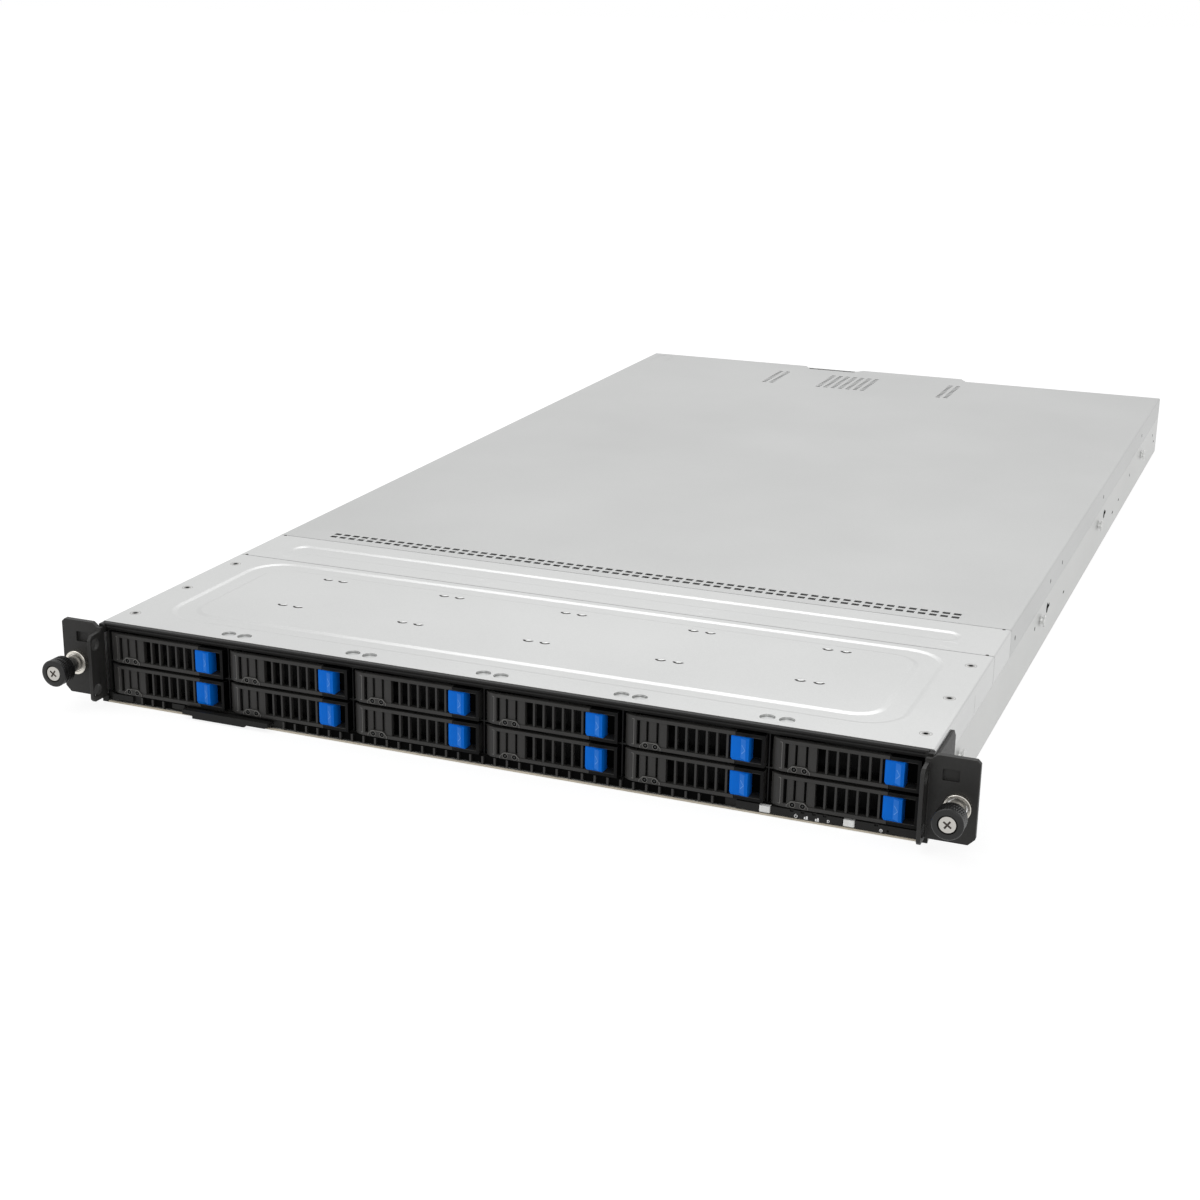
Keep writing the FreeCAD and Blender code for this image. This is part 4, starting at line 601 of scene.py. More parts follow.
def rear_cover():
    """The lift-off rear cover with its slots and stepped rear edge."""
    bm = bmesh.new()
    slots = cover_slots()
    right_step = (61.0, 829.0)
    notch = (-79.5, -29.5, 827.5)
    front_slots = [s for s in slots if s[2] < 300]
    back_slots = [s for s in slots if s[2] > 300]

    def band(group, y_low, y_high):
        x_lines = sorted({-HALF + BEND, HALF - BEND, *(s[0] for s in group), *(s[1] for s in group)})
        y_lines = sorted({y_low, y_high, *(s[2] for s in group), *(s[3] for s in group)})
        open_cells = {(round(s[0] + s[1], 3), round(s[2] + s[3], 3)) for s in group}

        def is_open(x, y):
            return (round(2 * x, 3), round(2 * y, 3)) in open_cells

        grid_skin(bm, x_lines, y_lines, is_open)
        return y_lines

    lines = band(front_slots, REAR_COVER[0], 200.0)
    lines += band([], 200.0, 745.0)[1:]
    lines += band(back_slots, 745.0, 812.0)[1:]
    left, right = -HALF + BEND, HALF - BEND
    tail = [
        (left, 812.0), (right, 812.0), (right, right_step[1]), (right_step[0], right_step[1]),
        (right_step[0] - 5.0, REAR_COVER[1]), (notch[1], REAR_COVER[1]), (notch[1] - 6, notch[2]),
        (notch[0] + 6, notch[2]), (notch[0], REAR_COVER[1]), (left, REAR_COVER[1]),
    ]
    bm.faces.new([bm.verts.new(Vector((x, y, TOP)) * MM) for x, y in tail])
    add_flange(bm, -1, lines + [REAR_COVER[1]])
    add_flange(bm, 1, lines + [right_step[1]])
    skin = piece("rear_cover_skin", sheet_mesh("rear_cover_work", bm, ZINC_REAR), "rear_cover")
    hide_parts("rear_top_cover")


def crescent(bm, x, y, inner, outer):
    """A thin dark crescent of painted shadow on the side of a dome that faces the front."""
    add_prism(bm, arc_outline((x, y), outer, inner, 195.0, 345.0, 12), TOP - 0.1, TOP + 0.03)


def cover_fasteners():
    """Cover screws with painted shade in their sockets, rivets with painted shadow on their front undersides,
    seam holes painted dark as shade, pressed rings and the thumb mark.
    """
    heads, sockets, domes, shades, rings = (bmesh.new() for _ in range(5))
    for side in (-1, 1):
        for y in COVER_SCREW_Y:
            centre = (side * COVER_SCREW_X, y, TOP)
            for ring in ([(1.0, -0.3), (1.15, 0.03), (1.9, 0.06), (2.1, -0.05)],
                         [(2.6, -0.05), (2.7, 0.04), (2.95, 0.04), (3.1, -0.05)]):
                add_lathe(heads, ring, centre, 28, "z", loop=True)
            # A near-black disc on each screw head: painted shade in its socket.
            add_lathe(sockets, [(0.0, 0.04), (1.2, 0.04), (1.2, -0.3), (0.0, -0.3)], centre, 16, "z")
        for y in SEAM_HOLE_Y:
            hole = [(0.0, 0.03), (0.9, 0.03), (0.9, -0.2), (0.0, -0.2)]
            add_lathe(shades, hole, (side * SEAM_HOLE_X, y, TOP), 16, "z")
    for x, y in [(x, y) for pair in PAIR_X for x in pair for y in DOME_ROWS]:
        profile = [(DOME_RADIUS, -0.1)]
        profile += [(DOME_RADIUS * math.cos(math.radians(a)), DOME_HIGH * math.sin(math.radians(a)))
                    for a in (0, 20, 40, 60, 80)]
        profile += [(0.0, DOME_HIGH), (0.0, -0.1)]
        add_lathe(domes, profile, (x, y, TOP), 24, "z")
        crescent(shades, x, y, 1.85, 3.1)
    for x in RING_X:
        edge = [(4.45, -0.05), (4.6, 0.04), (4.85, 0.04), (5.0, -0.05)]
        add_lathe(rings, edge, (x, RING_Y, TOP), 32, "z", loop=True)
    for name, mesh, look in (("cover_screw_heads", heads, STEEL), ("cover_screw_sockets", sockets, BLACK),
                             ("cover_rivets", domes, ZINC), ("cover_shadow_gaps", shades, PAINTED_SHADOW),
                             ("pressed_rings", rings, ZINC)):
        piece(name, finished(name, mesh, look), "chassis")
    emboss = bmesh.new()
    for start, end in zip(THUMB_MARK, THUMB_MARK[1:]):
        add_bar(emboss, start, end, 0.3, TOP - 0.1, TOP + 0.06)
    piece("thumb_mark", finished("thumb_mark", emboss, ZINC_REAR), "rear_cover")


# Front bays


def lever_mesh():
    """The lever's moulding: frame bars, curved left end, pillars, fins and the lamp boss."""
    bm = bmesh.new()
    low, high = LEVER_LOW, LEVER_HIGH
    face, back = LEVER_FACE, LEVER_BACK
    right = 56.65
    edge = EDGE
    for z in ((low, low + BAR), (high - BAR, high)):
        add_box(bm, (7.6, right), (face, back), z, edge)
    curve = [(8.4, face), (7.4, face), (6.2, -3.75), (4.8, -3.3), (3.4, -2.55), (2.2, -1.6), (2.2, -0.75),
             (8.4, back)]
    add_prism(bm, curve, low, high, "z", edge)
    sunk = face + 0.35
    for x in ((10.0, 13.2), (14.3, 18.2), (19.3, 23.35)):
        add_box(bm, x, (sunk, back), (low + 1.2, high - 1.2), edge)
        for edge_x in (x[0] + 0.25, x[1] - 0.25):
            add_box(bm, (edge_x - 0.16, edge_x + 0.16), (sunk - 0.12, sunk + 0.1), (low + 2.0, high - 2.0),
                    0.05)
    for i in range(6):
        x = 23.4 + 5.0 * i + 3.95
        add_box(bm, (x, x + 1.05), (sunk, back), (low + 1.2, high - 1.2), edge)
    boss = [(9.9, low), (20.8, low), (20.8, low + 1.2), (20.2, low + 1.9), (18.8, low + 3.3),
            (18.2, low + 3.6), (12.5, low + 3.6), (11.9, low + 3.3), (10.5, low + 1.9), (9.9, low + 1.2)]
    add_prism(bm, boss, face - 0.12, back, "y", 0.12)
    return finished("lever_moulding", bm, CHARCOAL)


def lever_shadow_mesh():
    """The unlit floor behind the lever's pillars."""
    bm = bmesh.new()
    add_box(bm, (8.0, 23.0), (LEVER_FACE + 1.7, LEVER_BACK - 0.1), (LEVER_LOW + 1.0, LEVER_HIGH - 1.0))
    return finished("lever_shadow", bm, BLACK)


# Lamps in the lever's boss, and the button's faces: the flat one ends where the ridge band starts
LAMP_X = (13.0, 17.9)
LAMP_Z = LEVER_LOW + 1.75
LAMP_FACE = LEVER_FACE - 0.12
RIDGE_X = 59.5
BAND_X = 62.4
BUTTON_FACE = -4.35
BAND_FACE = -5.95


def lever_trim_mesh():
    """The thin raised outline on the curved left end, painted lighter than the lever as a painted highlight.
    """
    bm = bmesh.new()
    low, high = LEVER_LOW + 1.3, LEVER_HIGH - 1.3
    left, right = 3.3, 7.2

    def surface(x):
        return -4.02 + 2.45 * max(0.0, (7.4 - x) / 5.2) ** 1.5 - 0.02

    for z0 in (low, high - 0.3):
        for i in range(4):
            a = left + (right - left) * i / 4
            b = left + (right - left) * (i + 1) / 4
            outline = [(a, surface(a)), (b, surface(b)), (b, surface(b) + 0.5), (a, surface(a) + 0.5)]
            add_prism(bm, outline, z0, z0 + 0.3)
    for x in (left, right - 0.3):
        back = surface(x) + 0.5
        outline = [(x, surface(x)), (x + 0.3, surface(x + 0.3)), (x + 0.3, back), (x, back)]
        add_prism(bm, outline, low, high)
    return finished("lever_outline", bm, TRIM_HIGHLIGHT)


def lamp_mesh():
    """Two small lamp windows sunk in the boss."""
    bm = bmesh.new()
    for x in LAMP_X:
        centre = (x, LAMP_FACE, LAMP_Z)
        add_lathe(bm, [(0.0, -0.1), (0.3, -0.08), (0.5, 0.0), (0.55, 0.1), (0.0, 0.1)], centre, 20)
    return finished("lamp_windows", bm, LENS)


def lamp_rim_mesh():
    """A sunk ring round each lamp, painted near black as painted shade."""
    bm = bmesh.new()
    for x in LAMP_X:
        add_lathe(bm, [(0.0, -0.02), (1.15, -0.02), (1.15, 0.1), (0.0, 0.1)], (x, LAMP_FACE, LAMP_Z), 24)
    return finished("lamp_rims", bm, BLACK)


def lamp_lip_mesh():
    """The raised edge that runs round both lamps and over the boss, painted lighter as a painted highlight.
    """
    bm = bmesh.new()
    for x in LAMP_X:
        add_lathe(bm, [(1.15, 0.05), (1.2, -0.14), (1.4, -0.14), (1.5, 0.05)], (x, LAMP_FACE, LAMP_Z), 24,
                  loop=True)
    low = LEVER_LOW
    top = [(10.1, low + 0.3), (10.1, low + 1.3), (10.7, low + 2.0), (12.0, low + 3.3), (12.6, low + 3.5),
           (18.1, low + 3.5), (18.7, low + 3.3), (20.0, low + 2.0), (20.6, low + 1.3), (20.6, low + 0.3)]
    for (x0, z0), (x1, z1) in zip(top, top[1:]):
        side = Vector((z0 - z1, x1 - x0)).normalized() * 0.28
        corners = [(x0, z0), (x1, z1), (x1 - side.x, z1 - side.y), (x0 - side.x, z0 - side.y)]
        add_prism(bm, corners, LEVER_FACE - 0.26, LEVER_FACE - 0.1, "y")
    return finished("lamp_lips", bm, TRIM_HIGHLIGHT)


def button_mesh():
    """The release button: flat thumb face, ridge band, nose at its top and pointed foot."""
    bm = bmesh.new()
    low, high = 2.45, 14.35
    left, right, back = 54.75, 63.95, 1.2
    plan = [(left, -4.15), (RIDGE_X, BUTTON_FACE), (BAND_X, BAND_FACE), (right, BAND_FACE), (right, back),
            (left, back)]
    add_prism(bm, plan, low + 1.3, high - 0.55, "z", 0.12)
    foot = ((low + 1.35, 0.0), (low + 0.75, 0.6), (low + 0.1, 1.6))
    for (z1, in1), (z0, in0) in zip(foot, foot[1:]):
        rows = []
        for z, cut in ((z0, in0), (z1, in1)):
            rows.append([(left + cut * 0.5, -4.1, z), (RIDGE_X, -4.3 + cut * 0.2, z),
                         (BAND_X, -5.9 + cut * 0.9, z), (right, -5.9 + cut * 0.9, z), (right, back, z),
                         (left + cut * 0.5, back, z)])
        merge_into(bm, solid_between(rows))
    cap = [(left, -4.0), (RIDGE_X + 0.4, -4.2), (BAND_X - 0.5, -5.4), (right, -5.4), (right, back),
           (left, back)]
    add_prism(bm, cap, high - 0.7, high - 0.15, "z", 0.12)
    nose = [(RIDGE_X + 1.2, -4.9), (BAND_X, -5.9), (right, -5.9), (right, -4.0), (RIDGE_X + 1.2, -4.0)]
    add_prism(bm, nose, high - 0.6, high, "z", 0.1)
    return finished("release_button", bm, BLUE)


def over_band(outline, lift):
    """Points (x, z) laid over the button's sloping ridge band, lifted off it."""
    slope = (BUTTON_FACE - BAND_FACE) / (BAND_X - RIDGE_X)
    return [(x, BUTTON_FACE - (x - RIDGE_X) * slope - lift, z) for x, z in outline]


def chevron_mesh():
    """The faint raised arrow head on the ridge band, painted paler blue as a painted highlight."""
    bm = bmesh.new()
    middle = 8.3
    for sign in (-1, 1):
        arm = [(60.0, middle + sign * 2.0), (60.3, middle + sign * 2.3), (62.2, middle + sign * 0.05),
               (61.9, middle - sign * 0.2)]
        merge_into(bm, solid_between([over_band(arm, lift) for lift in (0.0, 0.07)]))
    return finished("button_arrow", bm, BLUE_LINE_HIGHLIGHT)


def band_mesh():
    """A paler blue overlay on the button's sloping ridge band: a painted highlight where the band faces the
    light.
    """
    outline = [(59.65, 4.0), (62.3, 3.5), (62.3, 13.6), (59.65, 13.6)]
    solid = solid_between([over_band(outline, lift) for lift in (-0.2, 0.03)])
    return finished("button_band", solid, BLUE_HIGHLIGHT)


def housing_mesh():
    """The fixed right end of a carrier: frame bars round the button's dark pocket."""
    bm = bmesh.new()
    low, high = LEVER_LOW, LEVER_HIGH
    for z in ((low, low + BAR), (high - BAR, high)):
        add_box(bm, (56.95, 70.9), (LEVER_FACE, 3.4), z, EDGE)
    add_box(bm, (69.4, 70.9), (LEVER_FACE, 3.4), (low, high), EDGE)
    return finished("carrier_frame", bm, CHARCOAL)


def pocket_mesh():
    """A near-black wall behind the release button: painted shade in the button's pocket."""
    bm = bmesh.new()
    add_box(bm, (54.3, 69.6), (3.3, 3.5), (LEVER_LOW + 1.5, LEVER_HIGH - 1.5))
    return finished("pocket_floor", bm, BLACK)


def bays():
    """The moving fronts of all twelve bays."""
    lever, button = lever_mesh(), button_mesh()
    trims = (("lever_outline_", lever_trim_mesh()), ("lever_shadow_", lever_shadow_mesh()),
             ("lamp_windows_", lamp_mesh()), ("lamp_rims_", lamp_rim_mesh()), ("lamp_lips_", lamp_lip_mesh()))
    chevron, band, housing, pocket = chevron_mesh(), band_mesh(), housing_mesh(), pocket_mesh()
    for i in range(COLUMNS * ROWS):
        number = f"{i + 1:02d}"
        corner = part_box("drive_carrier_" + number)[0]
        place = ((corner[0] - ORIGIN.x) / MM - 0.5, 0.0, corner[2] / MM - 0.3)
        arm = piece("lever_moulding_" + number, lever, "lever_" + number, place)
        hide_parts("carrier_lever_" + number)
        for name, mesh in trims:
            piece(name + number, mesh, "lever_" + number, place)
        knob = piece("button_moulding_" + number, button, "button_" + number, place)
        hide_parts("release_button_" + number)
        for name, mesh in (("button_arrow_", chevron), ("button_band_", band)):
            piece(name + number, mesh, "button_" + number, place)
        for name, mesh in (("carrier_frame_", housing), ("pocket_floor_", pocket)):
            piece(name + number, mesh, "carrier_" + number, place)


# Ears and thumbscrews


def knob_mesh():
    """A knurled knob: fine diamond ridges between two smooth rims."""
    bm = bmesh.new()
    ridges = 40
    segments = ridges * 4
    start, end = KNOB
    levels = 18
    knurl_from, knurl_to = start + 1.3, end - 0.6
    profile = [(4.35, start + 0.5), (4.5, start), (6.5, start), (6.95, start + 0.2),
               (KNOB_RADIUS, start + 0.6), (KNOB_RADIUS, start + 1.2)]
    rings = []

    def ring(radius_at, along):
        points = []
        for k in range(segments):
            angle = 2 * math.pi * k / segments
            radius = radius_at(angle)
            points.append((radius * math.cos(angle), along, radius * math.sin(angle)))
        return points

    for radius, along in profile:
        rings.append(ring(lambda a, r=radius: r, along))
    for level in range(levels + 1):
        share = level / levels
        along = knurl_from + (knurl_to - knurl_from) * share
        twist = 3.0 * math.pi * share

        def knurled(angle, twist=twist):
            one = math.cos(ridges * angle + twist)
            two = math.cos(ridges * angle - twist)
            return KNOB_RADIUS - 0.28 + 0.14 * max(one, two) + 0.12 * min(one, two)

        rings.append(ring(knurled, along))
    for radius, along in ((6.9, end - 0.3), (6.6, end), (4.0, end)):
        rings.append(ring(lambda a, r=radius: r, along))
    add_faces(bm, rings)
    bmesh.ops.recalc_face_normals(bm, faces=bm.faces)
    return finished("knob_mesh", bm, KNOB_BLACK, 50.0)


def screw_head_mesh():
    """The screw in the knob's face, with a cross recess cut into its slightly crowned head."""
    bm = bmesh.new()
    front = KNOB[0]
    add_lathe(bm, [(0.0, front + 0.12), (2.4, front + 0.16), (3.8, front + 0.3), (4.15, front + 0.7),
                   (4.15, front + 2.5), (0.0, front + 2.5)], (0, 0, 0), 40)
    return carved(finished("screw_head_mesh", bm, NICKEL), cross_shape((front - 1, front + 1.3), 2.2, 0.45))


def cross_shape(limits_y, reach, half_width):
    """Two crossed bars, turned as the screw heads stand in the photograph."""
    bm = bmesh.new()
    for angle in (35.0, 125.0):
        part = bmesh.new()
        add_box(part, (-reach, reach), limits_y, (-half_width, half_width))
        part.transform(Matrix.Rotation(math.radians(angle), 4, "Y"))
        merge_into(bm, part)
    return bm


def shaft_mesh():
    """The plain steel shaft between the knob and the ferrule."""
    bm = bmesh.new()
    front = KNOB[1] - 1.0
    add_lathe(bm, [(0.0, front), (4.2, front), (4.2, -7.3), (3.9, -7.0), (0.0, -7.0)], (0, 0, 0), 40)
    return finished("screw_shaft", bm, STEEL)


def cross_mesh():
    """The dark floor of the cross recess: painted shade."""
    return finished("cross_floor", cross_shape((KNOB[0] + 0.45, KNOB[0] + 1.28), 2.17, 0.44), RECESS_SHADE)


def ferrule_mesh():
    """The bright flanged ferrule in the ear, round the screw's shaft."""
    bm = bmesh.new()
    profile = [(4.75, -3.6), (4.75, -8.8), (4.95, -9.05), (6.1, -9.05), (6.35, -8.8), (6.35, -6.55),
               (5.0, -6.52), (5.0, -3.6)]
    add_lathe(bm, profile, (0, 0, 0), 48, loop=True)
    return finished("ferrule", bm, FERRULE)


def thread_mesh():
    """The thin neck through the ear and the threaded end behind it, with rings for its thread."""
    bm = bmesh.new()
    profile = [(0.0, -7.4), (2.1, -7.4), (2.1, -3.4)]
    start, end, pitch = -3.3, 5.0, 0.8
    count = int((end - start) / pitch)
    for i in range(count):
        along = start + i * pitch
        profile += [(2.5, along + pitch * 0.25), (2.12, along + pitch * 0.75)]
    profile += [(2.0, 5.3), (0.0, 5.5)]
    add_lathe(bm, profile, (0, 0, 0), 32)
    return finished("thread_mesh", bm, NICKEL)


def thumbscrews():
    knob, ferrule = knob_mesh(), ferrule_mesh()
    metal = (("screw_head_", screw_head_mesh()), ("screw_cross_", cross_mesh()),
             ("screw_shaft_", shaft_mesh()), ("screw_thread_", thread_mesh()))
    for side, sign in (("left", -1), ("right", 1)):
        place = (sign * SCREW_X, 0.0, SCREW_Z)
        body = "screw_" + side
        turned = piece("knob_" + side, knob, body, place)
        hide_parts("thumbscrew_" + side)
        for name, mesh in metal:
            piece(name + side, mesh, body, place)
        ring = piece("ferrule_" + side, ferrule, "chassis", place)
        if side == "left":
            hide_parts("thumbscrew_ferrules")


# Small front details


KEYHOLES = ((528.8, 20.7), (301.3, 20.6))
WALL_SLOTS = ((576.1, 10.2, 5.0), (605.2, 12.4, 4.0), (363.5, 12.4, 4.0), (810.1, 12.0, 3.5))
WALL_HOLES = ((660.9, 17.8), (260.4, 20.2), (797.8, 19.3))
DIMPLE_Y = (194.0, 305.8, 347.5, 517.5, 719.1)
DIMPLE_Z = 35.5
FLANGE_CUT = (78.3, 34.6)
RIB_PITCH = 6.545
FIRST_RIB = -195.6
TAG_ROOM = (-178.5, -115.4)
PANEL_LEFT = 130.5


def bottom_ribs():
    """Fronts of the short ribs below the bays painted paler than the moulding as a painted highlight, with
    painted shade in the recess between them.
    """
    fronts, gaps = bmesh.new(), bmesh.new()
    for i in range(int((PANEL_LEFT - FIRST_RIB) / RIB_PITCH)):
        x = FIRST_RIB + i * RIB_PITCH
        if TAG_ROOM[0] < x < TAG_ROOM[1]:
            continue
        add_box(fronts, (x - 0.55, x + 0.55), (-3.86, -3.6), (1.35, 5.2), 0.08)
        add_box(gaps, (x + 0.65, x + RIB_PITCH - 0.65), (-2.46, -2.3), (1.3, 5.2))
    piece("rib_front_highlights", finished("rib_front_highlights", fronts, CHARCOAL), "chassis")
    piece("rib_gap_shade", finished("rib_gap_shade", gaps, BLACK), "chassis")


def control_marks():
    """Generic signs beside the lamps, drawn as thin white print."""
    bm = bmesh.new()
    face = -4.22
    depth = 0.03

    def bar(x, z, width, height):
        add_box(bm, (x - width / 2, x + width / 2), (face - depth, face), (z - height / 2, z + height / 2))

    def arc(x, z, radius, start, end, width=0.28):
        add_prism(bm, arc_outline((x, z), radius, radius - width, start, end, 10), face - depth, face, "y")

    arc(159.0, 2.4, 0.85, 120, 420)
    bar(159.0, 3.0, 0.28, 0.9)
    for x in (163.8, 169.0):
        bar(x - 0.55, 2.2, 0.7, 0.9)
        bar(x + 0.45, 2.5, 0.8, 1.3)
        bar(x, 1.65, 2.0, 0.25)
    bar(173.9, 2.4, 0.3, 1.5)
    arc(174.2, 2.5, 0.7, -80, 100)
    arc(198.7, 2.4, 0.8, 0, 360, 0.25)
    bar(198.7, 2.4, 0.5, 0.5)
    marks = piece("panel_marks", finished("panel_marks", bm, PRINT), "chassis")
    # The pinhole is a near-black disc: painted shade.
    hole = bmesh.new()
    add_lathe(hole, [(0.0, face - 0.02), (0.55, face - 0.02), (0.55, face + 0.3)], (201.8, 0, 2.6), 16)
    reset = piece("reset_pinhole_shade", finished("reset_pinhole_shade", hole, BLACK), "chassis")


def side_details():
    """Slots, holes and keyholes of both side walls, dimples and a cut on the flanges, as thin inlays; the
    slots, holes, keyholes and dimples are dark as painted shade.
    """
    bm = bmesh.new()
    proud = 0.02

    def slot(side, y, z, length, height):
        x = (HALF - 0.05, HALF + proud) if side > 0 else (-HALF - proud, -HALF + 0.05)
        add_box(bm, x, (y - length / 2, y + length / 2), (z - height / 2, z + height / 2))

    def disc(side, y, z, radius):
        centre = (side * HALF, y, z)
        add_lathe(bm, [(0.0, side * proud), (radius, side * proud), (radius, -side * 0.05)], centre, 20, "x")

    for side in (-1, 1):
        for y, z in KEYHOLES:
            disc(side, y, z, 3.0)
            slot(side, y + 4.5, z, 6.0, 2.2)
        for y, z, length in WALL_SLOTS:
            slot(side, y, z, length, 1.4)
        for y, z in WALL_HOLES:
            disc(side, y, z, 1.2)
    marks = piece("side_slot_shade", finished("side_slot_shade", bm, BLACK), "chassis")
    dimples = bmesh.new()
    for side in (-1, 1):
        for y in DIMPLE_Y:
            add_lathe(dimples, [(0.0, side * proud), (1.3, side * proud), (1.3, -side * 0.05)],
                      (side * HALF, y, DIMPLE_Z), 20, "x")
    piece("flange_dimple_shade", finished("flange_dimple_shade", dimples, PAINTED_SHADOW), "rear_cover")
    cuts = bmesh.new()
    for side in (-1, 1):
        outline = arc_outline(FLANGE_CUT, 11.0, 10.6, -24.0, 24.0, 8)
        add_prism(cuts, outline, side * (HALF - 0.05), side * (HALF + proud), "x")
    piece("flange_cuts", finished("flange_cuts", cuts, STEEL), "chassis")


def corner_fillers():
    """Dark ends of the front moulding, between the lip and the ears."""
    bm = bmesh.new()
    for x in ((-219.9, -216.2), (216.2, 219.9)):
        for y, z in (((-3.7, -0.02), (38.6, 42.9)), ((-4.3, -3.4), (0.05, 3.6))):
            add_box(bm, x, y, z, 0.15)
    piece("front_corners", finished("front_corners", bm, DARK), "chassis")


def bottom_edge():
    """The bare cut edge of the floor sheet under the front."""
    bm = bmesh.new()
    add_box(bm, (-216.5, 216.5), (-4.3, -3.45), (0.05, 0.95), 0.1)
    piece("floor_edge", finished("floor_edge", bm, ZINC_EDGE), "chassis")


# Carried-over nodes


NODE_LOOKS = {
    "base_chassis": ZINC_SIDE,
    "drive_cage": CAGE,
    "front_bezel": DARK,
    "drive_backplane": BOARD,
    "rack_ear_left": EAR_PAINT,
    "rack_ear_right": EAR_PAINT,
    "thumbscrew_ferrules": NICKEL,
    "control_panel": DARK,
    "power_button": WHITE,
    "id_button": WHITE,
    "pull_tag": DARK,
    "motherboard": MAIN_BOARD,
    "cpu_heatsinks": ALUMINIUM,
    "dimm_modules": BOARD,
    "fan_modules": DARK,
    "power_supply_1": SUPPLY,
    "power_supply_2": SUPPLY,
    "psu_latch_1": LATCH_RED,
    "psu_latch_2": LATCH_RED,
}
SOFT_EDGES = {"rack_ear_left": 0.3, "rack_ear_right": 0.3, "front_bezel": 0.12, "control_panel": 0.15,
              "power_button": 0.2, "id_button": 0.2, "base_chassis": 0.25, "power_supply_1": 0.3,
              "power_supply_2": 0.3, "psu_latch_1": 0.3, "psu_latch_2": 0.3, "pull_tag": 0.2}


def dress_nodes():
    """Materials, joined faces and lightly rounded edges on the nodes that stay in view."""
    for name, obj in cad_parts.items():
        look = CARRIER if name.startswith("drive_carrier") else NODE_LOOKS.get(name, DARK)
        for material_slot in obj.material_slots:
            material_slot.material = look
        weld = obj.modifiers.new("weld", "WELD")
        weld.merge_threshold = 0.000001
        radius = SOFT_EDGES.get(name)
        if radius:
            soften = obj.modifiers.new("edge", "BEVEL")
            soften.width = radius * MM
            soften.segments = 2
            soften.limit_method = "ANGLE"
            soften.angle_limit = math.radians(40.0)
            soften.harden_normals = False


# Studio


def seen_directly(tree):
    """1 for rays that show a surface or the background as itself, 0 for rays that light things."""
    path = tree.nodes.new("ShaderNodeLightPath")
    total = path.outputs["Is Camera Ray"]
    for name in ("Is Glossy Ray", "Is Transmission Ray"):
        add = tree.nodes.new("ShaderNodeMath")
        add.operation = "MAXIMUM"
        tree.links.new(total, add.inputs[0])
        tree.links.new(path.outputs[name], add.inputs[1])
        total = add.outputs["Value"]
    return total


def mixed(tree, factor, first, second):
    node = tree.nodes.new("ShaderNodeMixShader")
    tree.links.new(factor, node.inputs["Fac"])
    tree.links.new(first, node.inputs[1])
    tree.links.new(second, node.inputs[2])
    return node.outputs["Shader"]


def floor_material():
    """Pale paper that lights the object plainly and shows as near white with a soft shadow."""
    material, tree, paper, place = new_material("floor_paper")
    paper.inputs["Base Color"].default_value = (0.85, 0.85, 0.85, 1.0)
    paper.inputs["Roughness"].default_value = 0.95
    shadowed = tree.nodes.new("ShaderNodeBsdfDiffuse")
    tree.links.new(ramp(tree, noise(tree, place, 3.0), (0.26, 0.26, 0.26), (0.28, 0.28, 0.28)),
                   shadowed.inputs["Color"])
    glow = tree.nodes.new("ShaderNodeEmission")
    glow.inputs["Strength"].default_value = 0.85
    both = tree.nodes.new("ShaderNodeAddShader")
    tree.links.new(shadowed.outputs["BSDF"], both.inputs[0])
    tree.links.new(glow.outputs["Emission"], both.inputs[1])
    surface = mixed(tree, seen_directly(tree), paper.outputs["BSDF"], both.outputs["Shader"])
    tree.links.new(surface, tree.nodes["Material Output"].inputs["Surface"])
    return material


# Each lamp: name, place, aim, width and height in metres, power in watts
LAMPS = (
    ("key_light", (-1.3, -0.8, 2.0), (0.0, -0.1, 0.0), (1.6, 1.6), 11.0),
    ("back_light", (-0.5, 1.8, 2.05), (0.0, -0.3, 0.0), (1.9, 0.7), 8.5),
    ("front_light", (1.0, -2.4, 1.0), (0.0, -0.4, 0.02), (1.4, 1.4), 5.0),
)


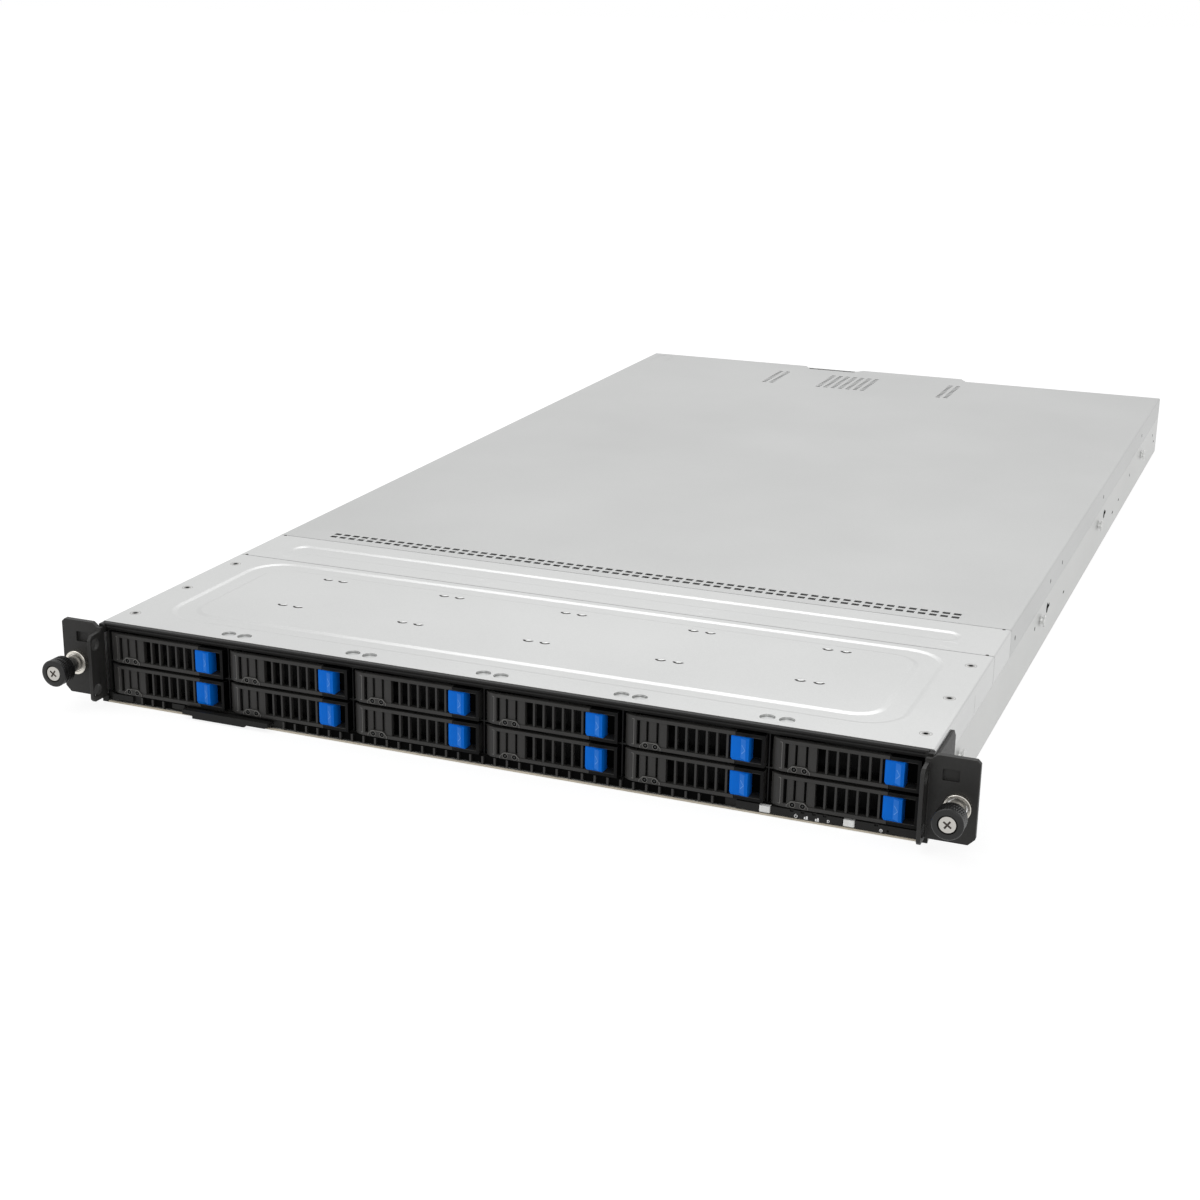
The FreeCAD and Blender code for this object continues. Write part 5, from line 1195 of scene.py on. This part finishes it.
def studio():
    """A pale floor, soft light and a background that shows as white."""
    bpy.ops.mesh.primitive_plane_add(size=30.0, location=(0.0, 0.0, -0.0004))
    floor = bpy.context.object
    floor.name = "studio_floor"
    floor.data.materials.append(floor_material())
    world = bpy.data.worlds.new("studio")
    bpy.context.scene.world = world
    world.use_nodes = True
    tree = world.node_tree
    light = tree.nodes["Background"]
    light.inputs["Color"].default_value = (1.0, 1.0, 1.0, 1.0)
    light.inputs["Strength"].default_value = 0.6
    seen = tree.nodes.new("ShaderNodeBackground")
    seen.inputs["Color"].default_value = (1.0, 1.0, 1.0, 1.0)
    surface = mixed(tree, seen_directly(tree), light.outputs["Background"], seen.outputs["Background"])
    tree.links.new(surface, tree.nodes["World Output"].inputs["Surface"])
    for lamp in LAMPS:
        soft_light(*lamp)


def soft_light(name, location, target, size, power):
    """A rectangular area light of a width and a height that points at a target."""
    data = bpy.data.lights.new(name, "AREA")
    data.shape = "RECTANGLE"
    data.size, data.size_y = size
    data.energy = power
    lamp = bpy.data.objects.new(name, data)
    bpy.context.scene.collection.objects.link(lamp)
    lamp.location = location
    lamp.rotation_euler = (Vector(target) - Vector(location)).to_track_quat("-Z", "Y").to_euler()


# The photograph's camera, fitted to the rack standard's sizes
CAMERA_PLACE = (377.387, -810.501, 369.660)
CAMERA_AZIMUTH = 22.64
CAMERA_ELEVATION = 17.72
CAMERA_ROLL = 0.565
CAMERA_LENS = 59.06
CAMERA_SHIFT = 0.0333


def camera():
    """The camera at the photograph's viewing angle."""
    azimuth, elevation = math.radians(CAMERA_AZIMUTH), math.radians(CAMERA_ELEVATION)
    back = Vector((math.sin(azimuth) * math.cos(elevation), -math.cos(azimuth) * math.cos(elevation),
                   math.sin(elevation)))
    right = Vector((0.0, 0.0, 1.0)).cross(back).normalized()
    up = back.cross(right)
    roll = math.radians(CAMERA_ROLL)
    rolled_right = right * math.cos(roll) + up * math.sin(roll)
    rolled_up = up * math.cos(roll) - right * math.sin(roll)
    turn = Matrix((rolled_right, rolled_up, back)).transposed()
    data = bpy.data.cameras.new("camera")
    data.lens = CAMERA_LENS
    data.sensor_width = 36.0
    data.shift_x = CAMERA_SHIFT
    data.clip_end = 50.0
    obj = bpy.data.objects.new("camera", data)
    bpy.context.scene.collection.objects.link(obj)
    obj.matrix_world = Matrix.Translation(point(*CAMERA_PLACE)) @ turn.to_4x4()
    bpy.context.scene.camera = obj


camera()
front_cover()
middle_cover()
rear_cover()
cover_fasteners()
bays()
thumbscrews()
control_marks()
side_details()
corner_fillers()
bottom_ribs()
bottom_edge()
dress_nodes()
studio()
bpy.context.scene.view_settings.view_transform = "Standard"
